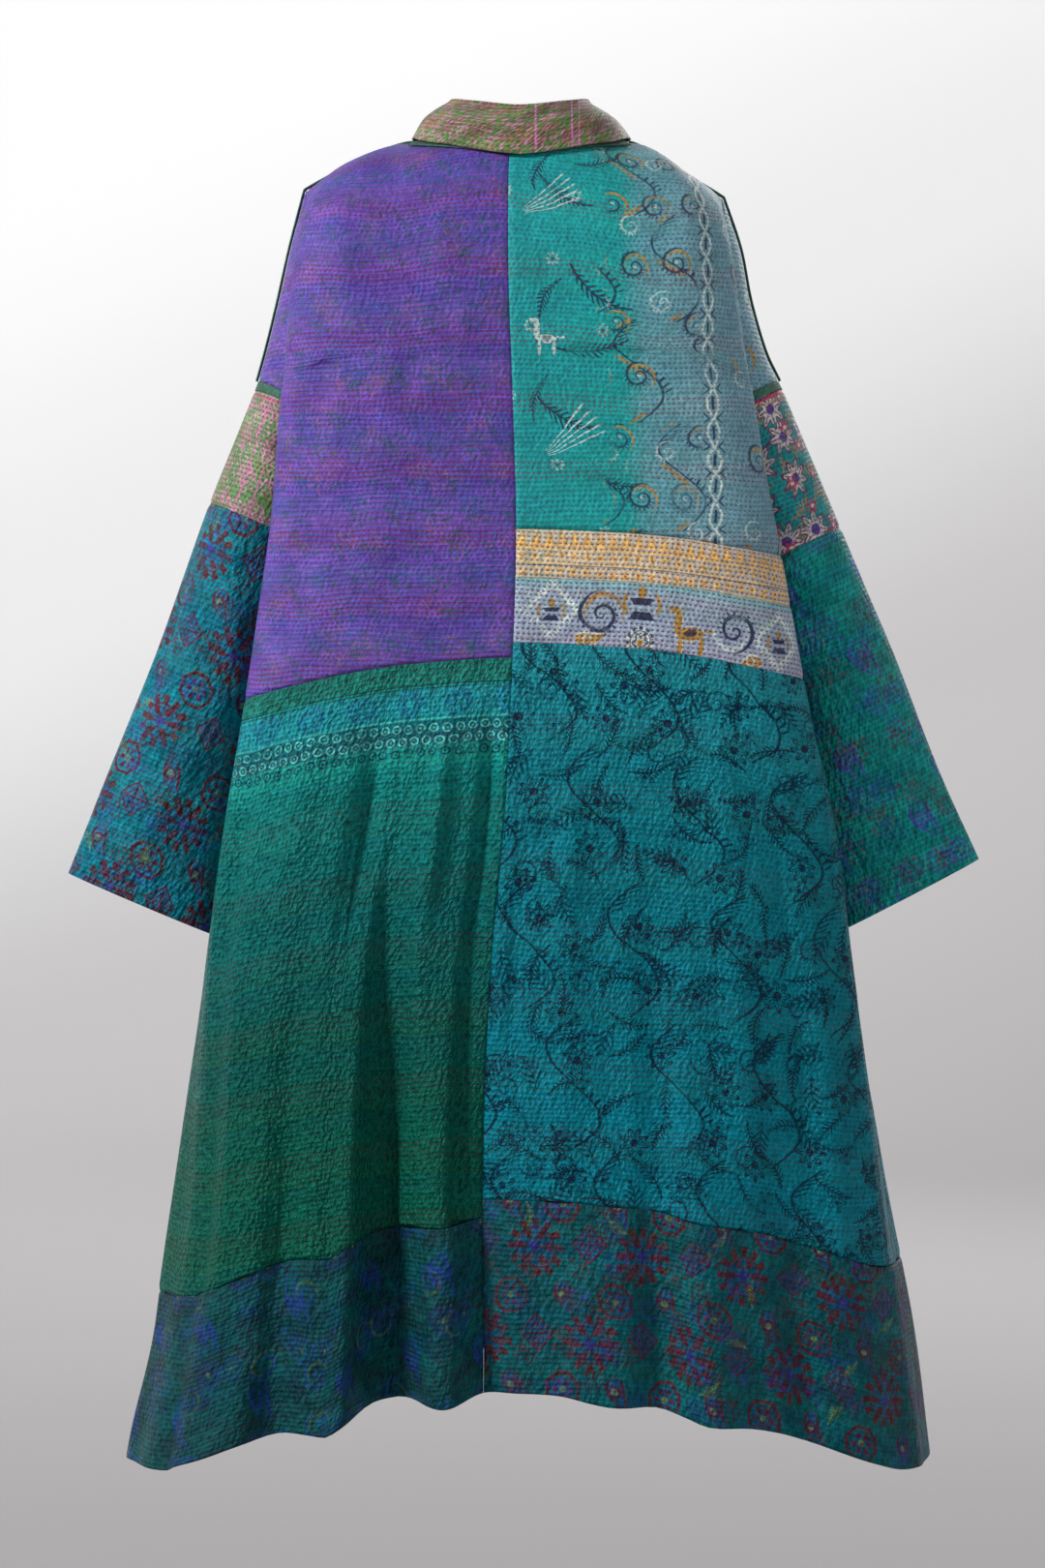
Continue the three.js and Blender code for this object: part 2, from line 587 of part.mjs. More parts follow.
function addSleeve(side, name, bandColour) {
  const { drop, sleeve, bandEnd } = ARMS[side < 0 ? 'L' : 'R'];
  const turns = evenly(ARM_CELLS).slice(0, ARM_CELLS);
  const around = (a) => (side < 0 ? a : 1 - a);
  const tape = (a, s) => {
    const top = ringPoint(side, drop[drop.length - 1], around(a), 0);
    return top.lerp(sleevePoint(side, around(a), 0), s);
  };
  const stretch = (from, to) => (a, s) => sleevePoint(side, around(a), mix(from, to, s));
  add(`sleeve_tape_${name}`, wall(tape, turns, evenly(1), CLOTH, true), BOTTLE_GREEN, 0.8);
  add(`sleeve_band_${name}`, wall(stretch(0, bandEnd), turns, evenly(4), CLOTH, true), bandColour);
  const lower = stretch(bandEnd, sleeve.length - 1);
  add(`sleeve_${name}`, wall(lower, turns, evenly(10), CLOTH, true), SLEEVE_TEAL);
}

// Round the neck, place runs from -2 at the left front over 0 at the centre back to 2, and its
// whole numbers between are the neck points.
function neckline(place) {
  const s = Math.abs(place);
  return columnTop(Math.sign(place) * (s <= 1 ? 2 * s : 9 + 1.95 * (s - 1)));
}

function collarFold(place) {
  const left = COLLAR_FOLD.slice(1).reverse().map(([x, y, z]) => [-x, y, z]);
  return through([...left, ...COLLAR_FOLD].map(vector), (place + 2) * 2);
}

function collarEdge(place) {
  const s = Math.abs(place);
  const points = (s <= 1 ? COLLAR_EDGE_BACK : COLLAR_EDGE_FRONT).map((p) => new THREE.Vector3(p.column, p.row, 0));
  const { x, y } = through(points, clamp(s <= 1 ? s : s - 1) * (points.length - 1));
  return onBody(Math.sign(place) * x, y, COLLAR_LIFT);
}

// The collar's fold at a place: a point on it, and the directions out of it and up from it.
function foldFrame(place) {
  const point = collarFold(place);
  const along = collarFold(place + 1e-3).sub(collarFold(place - 1e-3)).normalize();
  const out = new THREE.Vector3(point.x, point.y, 0);
  out.addScaledVector(along, -out.dot(along)).normalize();
  const up = along.clone().cross(out);
  if (up.z < 0) up.negate();
  return { point, out, up };
}

function addCollar() {
  const around = (a) => mix(-2, 2, clamp(a));
  const standPoint = (a, s) => {
    const low = neckline(around(a));
    const { point, up } = foldFrame(around(a));
    const step = mix(SEAM, STAND_IN, ease((Math.abs(around(a)) - 0.6) / 0.5));
    low.addScaledVector(new THREE.Vector3(low.x, low.y, 0).normalize(), -step);
    low.z += step;
    const below = mix(2.9, 6, ease((Math.abs(around(a)) - 1.2) / 0.5));
    return point.addScaledVector(up, -below).lerp(low, s);
  };
  const fallPoint = (a, s) => {
    const { point, out, up } = foldFrame(around(a));
    const low = collarEdge(around(a));
    const turn = COLLAR_TURN.map((degrees) => {
      const angle = (degrees * Math.PI) / 180;
      const [by, rise] = [1.2 + FOLD_RADIUS * Math.cos(angle), FOLD_RADIUS * (Math.sin(angle) - 1)];
      return point.clone().addScaledVector(out, by).addScaledVector(up, rise);
    });
    const middle = turn[3].clone().lerp(low, 0.5).addScaledVector(out, COLLAR_CROWN).addScaledVector(up, 1);
    return through([...turn, middle, low], s * 5);
  };
  add('collar_stand', wall(standPoint, evenly(28), evenly(3)), BOTTLE_GREEN, 0.8);
  add('collar_fall', wall(fallPoint, evenly(28), [0, 0.2, 0.4, 0.6, 0.7, 0.8, 0.9, 1]), OLIVE);
  const tapePoint = (a, s) => onBody(mix(-1.75, 1.75, a), mix(0.008, 0.034, s), TAPE_LIFT);
  add('neck_tape', wall(tapePoint, evenly(16), evenly(3), TAPE), BOTTLE_GREEN, 0.8);
}

addBody();
addShoulder(-1, 'left', VIOLET);
addShoulder(1, 'right', BLUE_GREY);
addSleeve(-1, 'left', OLIVE);
addSleeve(1, 'right', ROSE);
addCollar();

export default coatGroup;
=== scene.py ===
# %% [markdown]
# This notebook dresses a CAD model of a long patchwork coat made of old, hand-stitched sari cloth.
# The model gives the panels and their seams. Here each panel becomes a fine sheet of cloth with its
# own print, its rows of running stitch and its creases.

# %% Load the frame
import json
import math

import bmesh
import bpy
import numpy as np
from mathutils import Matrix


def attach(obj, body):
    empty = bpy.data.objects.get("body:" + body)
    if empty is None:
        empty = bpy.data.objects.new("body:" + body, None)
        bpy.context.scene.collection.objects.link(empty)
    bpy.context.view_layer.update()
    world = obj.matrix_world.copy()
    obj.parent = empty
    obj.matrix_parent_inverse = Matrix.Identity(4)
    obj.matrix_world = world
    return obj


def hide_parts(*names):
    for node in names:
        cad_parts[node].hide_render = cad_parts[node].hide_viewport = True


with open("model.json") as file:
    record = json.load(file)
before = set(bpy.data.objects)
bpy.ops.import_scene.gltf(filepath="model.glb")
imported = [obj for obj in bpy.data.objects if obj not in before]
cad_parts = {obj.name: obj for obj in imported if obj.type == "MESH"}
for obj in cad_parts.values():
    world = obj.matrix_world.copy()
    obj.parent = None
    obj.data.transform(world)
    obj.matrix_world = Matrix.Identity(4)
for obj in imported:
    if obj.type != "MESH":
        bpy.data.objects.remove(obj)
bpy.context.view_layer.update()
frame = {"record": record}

# %% [markdown]
# The camera comes first, so that every render can be compared with the photograph. It stands level
# with the coat's middle, nearly four metres behind it, with a long lens that keeps upright edges
# upright.

# %% Camera
CAMERA_AWAY, CAMERA_HEIGHT = 3.95, -0.58  # m, from the neck point

camera = bpy.data.objects.new("camera", bpy.data.cameras.new("camera"))
camera.data.lens = 100
camera.data.clip_end = 60
camera.location = (0.0025, -CAMERA_AWAY, CAMERA_HEIGHT)
camera.rotation_euler = (math.radians(90), 0, 0)
bpy.context.scene.collection.objects.link(camera)
bpy.context.scene.camera = camera

# %% [markdown]
# The coat's cloth is one smooth surface of columns that hang from the shoulder line and the neckline
# to the hem. The CAD model's panels lie on that surface. The same tables and curves are repeated
# here, in millimetres, so that the fine sheets lie exactly where the CAD walls are.

# %% The coat's sizes
CLOTH = 1.5  # the wall's thickness
SEAM = 0.4
ARM_BACK, ARM_MIDDLE, ARM_FRONT = -52, 8, 68
HEM_CENTRE, HEM_SIDE = 1108, 1183
SHOULDER_ROUND, ROUND_ROWS = 0.084, 0.1273
ARM_STEP = 0.6
TAPE_HALF = 3
OPEN_TOP, OPEN_HEM = 6, 20
WAIST, OVAL_FROM = 470, 560
ARM_FORWARD = 6

BODY_NAMES = ("down", "back", "front", "foldL", "rootL", "frontL", "foldR", "rootR", "frontR", "seam")
BODY = dict(zip(BODY_NAMES, np.array([
    [0, 104, 84, 190, 187, 150, 181, 177, 146, -8],
    [45, 110, 90, 197, 193, 158, 187, 184, 152, -10],
    [130, 120, 100, 203, 177, 164, 192, 171, 161, -10],
    [245, 122, 108, 215, 158, 160, 210, 155, 158, -6],
    [365, 124, 112, 225, 183, 184, 231, 187, 188, -3],
    [515, 130, 116, 246, 216, 217, 258, 228, 229, -8],
    [625, 137, 119, 264, 247, 247, 279, 255, 255, -14],
    [717, 143, 123, 278, 270, 270, 293, 282, 282, -23],
    [830, 153, 128, 290, 287, 286, 311, 307, 305, -29],
    [950, 165, 135, 303, 302, 299, 328, 326, 322, -31],
    [1070, 177, 143, 321, 321, 317, 347, 347, 342, -30],
    [1185, 188, 150, 343, 343, 338, 361, 361, 356, -31],
], dtype=float).T))

# Each column's share of the half width, in the upper part and at the hem.
ACROSS = np.array([0, 0.38, 0.72, 0.93, 1, 1, 1, 1, 0.93, 0.66, 0.33, 0])
ACROSS_LOW = np.array([0, 0.36, 0.66, 0.86, 0.955, 1.012, 1.03, 1, 0.88, 0.66, 0.33])
TOPS = {
    "left": [(0, -78, -14), (56, -60, -7), (94, 0, 0), (135, 0, -12), (170, 0, -29.5), (194, 0, -43),
             (194, 0, -43), (194, 0, -43), (150, 0, -18.3), (94, 0, 0), (74, 52, -28), (6, 88, -76)],
    "right": [(0, -78, -14), (56, -60, -7), (97, 0, 0), (133, 0, -21), (163, 0, -37), (184, 0, -50),
              (184, 0, -50), (184, 0, -50), (145, 0, -27), (97, 0, 0), (76, 52, -28), (6, 88, -76)],
}
TOP_POINTS = np.array(
    [(-x, y, z) for x, y, z in TOPS["left"][:0:-1]] + [(x, y, z) for x, y, z in TOPS["right"]],
    dtype=float)
ARMHOLE_BACK, SIDE, ARMHOLE_FRONT, CENTRE_FRONT, BACK_FOLD = 5, 6, 7, 11, 4

# Each fold: its place at the waist and at the hem, its start, half width, push, drop and squareness.
BACK_FOLDS = [
    (-236, -268, 640, 30, 9, 0, 2), (-190, -212, 520, 19, -11, 0, 2), (-150, -168, 560, 26, 17, 13, 2),
    (-112, -114, 470, 27, -36, -2, 4), (-70, -64, 640, 22, 13, 9, 2), (-36, -30, 480, 19, -14, -1, 2),
    (66, 80, 760, 32, 13, 6, 2), (108, 121, 820, 16, -11, 0, 2), (140, 162, 640, 32, 15, 9, 2),
    (214, 244, 700, 30, -9, 0, 2),
]
FRONT_FOLDS = [
    (-200, -252, 640, 28, -14, 0, 2), (-140, -186, 560, 30, 16, 8, 2), (-92, -122, 500, 26, -20, 0, 2),
    (-44, -62, 600, 26, 14, 6, 2), (40, 56, 580, 26, 13, 6, 2), (88, 116, 520, 24, -18, 0, 2),
    (146, 180, 600, 32, 17, 8, 2), (206, 256, 660, 28, -13, 0, 2),
]
SEAMS = {
    "goldTop": (356, 378), "goldBottom": (399, 422), "waistL": (469, 505), "waistR": (456, 487),
    "borderL": (958, 1032), "borderR": (942, 1006),
}
# Each ring of an arm: its outer end's x and z, its width, its slope in degrees and half its depth.
ARMS = {
    -1: {
        "drop": [(207, -90, 162.5, 73.7, 60), (219, -143, 118.8, 62.1, 61), (229, -184, 91.2, 46.3, 62),
                 (237.5, -215, 78.3, 28.2, 62)],
        "sleeve": [(240.5, -223, 79.2, 25.4, 62), (260, -271, 90, 23.5, 60), (282, -325, 100, 23, 57),
                   (306, -392, 109, 23, 52), (333, -467, 118, 23, 46), (376, -573, 131, 23, 34),
                   (411, -661, 145, 23, 22)],
    },
    1: {
        "drop": [(199.5, -94, 157.4, 74.9, 60), (209, -142, 116.4, 65.6, 61), (222, -187, 86, 47.1, 62),
                 (235, -215, 78.3, 28.2, 62)],
        "sleeve": [(238.5, -222, 78.7, 26.4, 62), (264, -282, 91, 26, 60), (291.5, -347, 101, 26, 57),
                   (316, -405, 110, 26, 52), (342.5, -467, 119, 26.5, 46), (380.5, -565, 133, 27, 34),
                   (418, -648, 145, 27.5, 22)],
    },
}
BAND_END = 2
COLLAR_FOLD = np.array([(0, -73, 25), (41, -58, 31), (60, -8, 39), (54, 46, 8), (13, 85, -50)],
                       dtype=float)
COLLAR_EDGE_BACK = np.array([(0, 0.04, 0), (0.9, 0.035, 0), (1.6, 0.027, 0), (2.1, 0, 0)], dtype=float)
COLLAR_EDGE_FRONT = np.array([(8.9, 0, 0), (9.25, 0.045, 0), (9.7, 0.07, 0), (10.72, 0.05, 0)],
                             dtype=float)
TAPE_LIFT, COLLAR_LIFT, COLLAR_CROWN, STAND_IN = 2.2, 5, 5, 3
FOLD_RADIUS, COLLAR_TURN = 3.2, (150, 105, 60, 15)


# %% Smooth curves through the tables
def ease(t):
    t = np.clip(t, 0, 1)
    return t * t * (3 - 2 * t)


def lerp(a, b, t):
    return a + (b - a) * t


def hermite(start, slope_start, end, slope_end, t):
    t2, t3 = t * t, t * t * t
    return (2 * t3 - 3 * t2 + 1) * start + (t3 - 2 * t2 + t) * slope_start + (3 * t2 - 2 * t3) * end + (
        t3 - t2) * slope_end


def calm_slope(before, after):
    most = 3 * np.minimum(abs(before), abs(after))
    return np.where(before * after <= 0, 0, np.clip((before + after) / 2, -most, most))


def through(points, s):
    """The points at places s on a curve. points is (K, 3), or (K, N, 3) with a curve for each place."""
    ends = (2 * points[:1] - points[1:2], points, 2 * points[-1:] - points[-2:-1])
    points = np.concatenate(ends)
    i = np.clip(np.floor(s).astype(int), 0, len(points) - 4)
    t = (s - i)[:, None]
    if points.ndim == 2:
        a, b, c, d = (points[i + k] for k in range(4))
    else:
        a, b, c, d = (points[i + k, np.arange(len(s))] for k in range(4))
    return hermite(b, calm_slope(b - a, c - b), c, calm_slope(c - b, d - c), t)


def body(name, down):
    """A smooth value of the body's table at heights below the neck point."""
    heights, values = BODY["down"], BODY[name]
    last = len(heights) - 1
    i = np.clip(np.searchsorted(heights, down, side="right") - 1, 0, last - 1)

    def slope(k):
        low, high = np.clip(k - 1, 0, last), np.clip(k + 1, 0, last)
        return (values[high] - values[low]) / (heights[high] - heights[low])

    span = heights[i + 1] - heights[i]
    return hermite(values[i], slope(i) * span, values[i + 1], slope(i + 1) * span,
                   (down - heights[i]) / span)


# %% The coat's surface
def reach(column):
    place = abs(column)
    i = np.clip(np.floor(place).astype(int), 0, CENTRE_FRONT - 1)
    return lerp(ACROSS[i], ACROSS[i + 1], place - i)


def hem_fall(column):
    return lerp(HEM_CENTRE, HEM_SIDE, reach(column) ** 2)


def column_top(column):
    return through(TOP_POINTS, column + CENTRE_FRONT)


def column_point(k, row):
    """The points of whole columns k at rows."""
    turn = np.clip(row, 0, ROUND_ROWS) / ROUND_ROWS * math.pi / 2
    low = row >= ROUND_ROWS
    fall = np.where(low, SHOULDER_ROUND + (1 - SHOULDER_ROUND) * (row - ROUND_ROWS) / (1 - ROUND_ROWS),
                    SHOULDER_ROUND * (1 - np.cos(turn)))
    rounded = np.where(low, 1, np.sin(turn))
    top = TOP_POINTS[k + CENTRE_FRONT]
    z = lerp(top[:, 2], -hem_fall(k), fall)
    down = -z
    left = k < 0
    fold, root, front = (np.where(left, body(part + "L", down), body(part + "R", down))
                         for part in ("fold", "root", "front"))
    back, chest = body("back", down), body("front", down)
    opening = lerp(OPEN_TOP, OPEN_HEM, np.clip(down / HEM_CENTRE, 0, 1))
    oval = ease((down - OVAL_FROM) / (HEM_CENTRE - OVAL_FROM))
    flat = np.zeros_like(down)
    halves = [fold] * 5 + [root] * 3 + [front] * 3
    xs = [lerp(high, low, oval) * half for high, low, half in zip(ACROSS, ACROSS_LOW, halves)]
    xs = np.stack([*xs, opening])
    ys = np.stack([-back, -0.99 * back, -0.93 * back, -0.8 * back, -0.6 * back, flat + ARM_BACK,
                   flat + ARM_MIDDLE, flat + ARM_FRONT, lerp(0.86, 0.84, oval) * chest, 0.96 * chest,
                   chest, chest])
    place = np.arange(len(k))
    x, y = xs[abs(k), place] * np.sign(k), ys[abs(k), place]
    return np.stack([lerp(top[:, 0], x, rounded), lerp(top[:, 1], y, rounded), z], axis=1)


def folds_at(folds, x, down):
    push, drop = np.zeros_like(x), np.zeros_like(x)
    for waist, hem, start, width, out, lower, square in folds:
        grown = ease((down - start) / (HEM_CENTRE - start))
        middle = lerp(waist, hem, np.clip((down - WAIST) / (HEM_CENTRE - WAIST), 0, 1))
        shape = np.exp(-(abs(x - middle) / (width * lerp(0.6, 1, grown))) ** square)
        push += out * grown * shape
        drop += lower * grown ** 3 * shape
    return push, drop


def coat(column, row):
    """Points of the outer surface, for columns from -11, at the left front's edge, to 11."""
    column, row = np.broadcast_arrays(np.asarray(column, float), np.asarray(row, float))
    column, row = column.ravel(), row.ravel()
    i = np.clip(np.floor(column).astype(int), -CENTRE_FRONT, CENTRE_FRONT - 1)
    a, b, c, d = (column_point(np.clip(i + k, -CENTRE_FRONT, CENTRE_FRONT), row) for k in (-1, 0, 1, 2))
    a = np.where((i > -CENTRE_FRONT)[:, None], a, 2 * b - c)
    d = np.where((i < CENTRE_FRONT - 1)[:, None], d, 2 * c - b)
    point = hermite(b, calm_slope(b - a, c - b), c, calm_slope(c - b, d - c), (column - i)[:, None])
    place = abs(column)
    on_back = ease((BACK_FOLD + 0.2 - place) / 0.8)
    on_front = ease((place - ARMHOLE_FRONT - 0.4) / 0.8)
    push_back, drop_back = folds_at(BACK_FOLDS, point[:, 0], -point[:, 2])
    push_front, drop_front = folds_at(FRONT_FOLDS, point[:, 0], -point[:, 2])
    point[:, 1] += on_front * push_front - on_back * push_back
    point[:, 2] -= on_front * drop_front + on_back * drop_back
    return point


def on_body(column, row, lift):
    step = 1e-3
    right = coat(column + step, row) - coat(column - step, row)
    down = coat(column, row + step) - coat(column, np.maximum(row - step, 0))
    normal = np.cross(down, right)
    return coat(column, row) + normal / np.linalg.norm(normal, axis=1)[:, None] * lift


# %% The seams on the surface
def row_at(column, down):
    top = -column_top(column)[:, 2]
    fall = (down - top) / (hem_fall(column) - top)
    return ROUND_ROWS + (fall - SHOULDER_ROUND) * (1 - ROUND_ROWS) / (1 - SHOULDER_ROUND)


UNDERARM = {-1: row_at(np.array([-6.0]), 245)[0], 1: row_at(np.array([6.0]), 246)[0]}


def armhole_turn(t):
    return 1 - np.cos(math.pi / 2 * np.clip((t - 0.5) / 0.5, 0, 1))


def side_column(side, row, behind):
    t = 2 / math.pi * np.arcsin(np.clip(row / UNDERARM[side], 0, 1))
    return side * (ARMHOLE_BACK + armhole_turn(t) if behind else ARMHOLE_FRONT - armhole_turn(t))


def back_seam_column(row):
    k = np.zeros(len(row), int)
    x = body("seam", -column_point(k, row)[:, 2])
    return x / abs(column_point(k - 1, row)[:, 0])


def top_row(column):
    top = column_top(column)
    full = coat(column, np.full_like(column, ROUND_ROWS))
    room = np.clip((TAPE_HALF + 2 * SEAM - abs(top[:, 1])) / abs(full[:, 1] - top[:, 1]), 0, 1)
    return ROUND_ROWS * np.arcsin(room) / (math.pi / 2)


def row_of(name):
    if name == "top":
        return top_row
    if name == "hem":
        return lambda column: np.ones_like(column)
    centre, side = SEAMS[name]
    return lambda column: row_at(column, lerp(centre, side, reach(column) ** 2))


# %% [markdown]
# A sheet of cloth is made from one flat grid. Each of its points is a share across and a share down,
# and a function gives the place on the coat for those shares. The grid is closest near its edges,
# because there the cloth dips into the seam. Its UV map is in metres along the cloth, so a print
# keeps its size wherever the cloth bends, and the map is also what the flat cut is measured from.

# %% Make one sheet
LEVEL = -0.356  # m: the height at which the upper panels' stitch rows lie level
DIP, DIP_HALF = 1.1, 3.0  # mm: how deep the cloth dips into a seam, and over what half width
cloth = {}


def tighten(share, amount=0.6):
    """Shares that lie closer together near 0 and 1."""
    return share - amount * np.sin(2 * math.pi * share) / (2 * math.pi)


def lay_creases(points, creases, width, length):
    """How far each point is pushed out by creases: (across, down, across, down, half width, push)."""
    a, b = points
    push = np.zeros_like(a)
    for a0, b0, a1, b1, half, out in creases:
        start = np.array([a0 * width, b0 * length])
        way = np.array([a1 * width, b1 * length]) - start
        size = np.linalg.norm(way)
        way /= size
        x, y = a * width - start[0], b * length - start[1]
        along = (x * way[0] + y * way[1]) / size
        bend = 0.12 * half * np.sin(along * 7 + a0 * 40)
        off = -x * way[1] + y * way[0] + bend
        taper = ease(along / 0.2) * ease((1 - along) / 0.2)
        uneven = 1 + 0.3 * np.sin(along * 11 + b0 * 30)
        push += out * taper * uneven * np.exp(-(off / half) ** 2)
    return push


def sheet(name, place, cells, uv_from, closed=False, dips=("top", "bottom", "sides"), creases=(),
          thick=CLOTH):
    """One piece of cloth in place of its CAD node. place(a, b) gives points for shares."""
    across, down = cells
    mesh = bmesh.new()
    bmesh.ops.create_grid(mesh, x_segments=across, y_segments=down, size=0.5)
    mesh.verts.ensure_lookup_table()
    raw = np.array([v.co[:2] for v in mesh.verts])
    cols = np.rint((raw[:, 0] + 0.5) * across).astype(int)
    rows = np.rint((0.5 - raw[:, 1]) * down).astype(int)
    grid_a, grid_b = np.meshgrid(np.arange(across + 1) / across, np.arange(down + 1) / down)
    if not closed:
        grid_a = tighten(grid_a)
    grid_b = tighten(grid_b)
    points = place(grid_a.ravel(), grid_b.ravel()).reshape(down + 1, across + 1, 3)
    step_a = np.linalg.norm(np.diff(points, axis=1), axis=2)
    step_b = np.linalg.norm(np.diff(points, axis=0), axis=2)
    u = np.concatenate([np.zeros((down + 1, 1)), np.cumsum(step_a, axis=1)], axis=1)
    v = np.concatenate([np.zeros((1, across + 1)), np.cumsum(step_b, axis=0)], axis=0)
    width, length = u[:, -1].max(), v[-1].max()
    right, below = np.gradient(points, axis=1), np.gradient(points, axis=0)
    if closed:
        right[:, 0] = right[:, -1] = points[:, 1] - points[:, -2]
    normal = np.cross(below, right)
    normal /= np.linalg.norm(normal, axis=2)[:, :, None] + 1e-9
    push = lay_creases((grid_a, grid_b), creases, width, length)
    edge = np.full_like(u, 1e3)
    if "top" in dips:
        edge = np.minimum(edge, v)
    if "bottom" in dips:
        edge = np.minimum(edge, v[-1][None, :] - v)
    if "sides" in dips and not closed:
        edge = np.minimum(edge, np.minimum(u, u[:, -1:] - u))
    push -= DIP * np.exp(-(edge / DIP_HALF) ** 2)
    points = (points + normal * push[:, :, None]) / 1000
    if uv_from == "front edge":
        u, v = u - u[:, -1:] + width, v - v[-1][None, :]
    if uv_from == "place":
        u, v = points[:, :, 0] * 1000, -points[:, :, 2] * 1000
    if uv_from in ("level", "level_right"):
        heights = points[:, :, 2]
        v = v - np.array([np.interp(-LEVEL, -heights[:, c], v[:, c]) for c in range(across + 1)])[None, :]
    if uv_from in ("right", "level_right"):
        u = u - u[:, -1:]
    for vert, c, r in zip(mesh.verts, cols, rows):
        vert.co = points[r, c]
    layer = mesh.loops.layers.uv.new("cloth")
    for face in mesh.faces:
        for loop in face.loops:
            c, r = cols[loop.vert.index], rows[loop.vert.index]
            loop[layer].uv = (u[r, c] / 1000, -v[r, c] / 1000)
        face.smooth = True
    if closed:
        bmesh.ops.remove_doubles(mesh, verts=mesh.verts, dist=1e-5)
    data = bpy.data.meshes.new(name)
    mesh.to_mesh(data)
    mesh.free()
    piece = bpy.data.objects.new("cloth_" + name, data)
    bpy.context.scene.collection.objects.link(piece)
    shell = piece.modifiers.new("thickness", "SOLIDIFY")
    shell.thickness = thick / 1000
    shell.offset = -1
    shell.use_rim = True
    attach(piece, "root")
    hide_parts(name)
    area = sum(p.area for p in data.polygons)
    print(f"{name}: {width:.0f} x {length:.0f} mm, {area:.4f} m2, {2 * len(data.polygons)} quads")
    if min(width, length) > 10:
        width / 1000
        length / 1000
        float(np.clip(area, 0.31 * width * length / 1e6, width * length / 1e6))
    cloth[name] = piece


# %% [markdown]
# The body's panels run from one seam to the next. Their creases are laid by hand, as soft troughs and
# ridges that fan out from the shoulders, sag across the back and hang down towards the hem.

# %% The body's panels
def even_shares(start, end, row=0.75, count=300):
    a = np.linspace(0, 1, count)
    points = coat(lerp(start, end, a), np.full(count, row))
    length = np.concatenate([[0], np.cumsum(np.linalg.norm(np.diff(points, axis=0), axis=1))])
    return lambda share: np.interp(share, length / length[-1], a)


SEAM_COLUMN = back_seam_column(np.array([0.75]))[0]
SHARES = {
    ("L", True): even_shares(-SIDE, SEAM_COLUMN), ("R", True): even_shares(SEAM_COLUMN, SIDE),
    ("L", False): even_shares(-CENTRE_FRONT, -SIDE), ("R", False): even_shares(SIDE, CENTRE_FRONT),
}


def panel_place(side, behind, top, bottom, underarm):
    sign = -1 if side == "L" else 1
    left_first = (sign < 0) == behind
    top, bottom, shares = row_of(top), row_of(bottom), SHARES[side, behind]

    def column_in(a, row):
        outside = side_column(sign, row, behind)
        inside = back_seam_column(row) if behind else np.full_like(row, sign * CENTRE_FRONT)
        return lerp(outside, inside, a) if left_first else lerp(inside, outside, a)

    def edge_row(row_of_column, a):
        row = np.full_like(a, 0.5)
        for _ in range(5):
            row = row_of_column(column_in(a, row))
        return row

    def place(a, b):
        a = shares(a)
        first, last, under = edge_row(top, a), edge_row(bottom, a), UNDERARM[sign]
        row = lerp(first, last, b)
        if underarm:
            above = lerp(first, under, np.sin(np.clip(b / underarm, 0, 1) * math.pi / 2))
            row = np.where(b < underarm, above, lerp(under, last, (b - underarm) / (1 - underarm)))
        return coat(column_in(a, row), row)

    return place


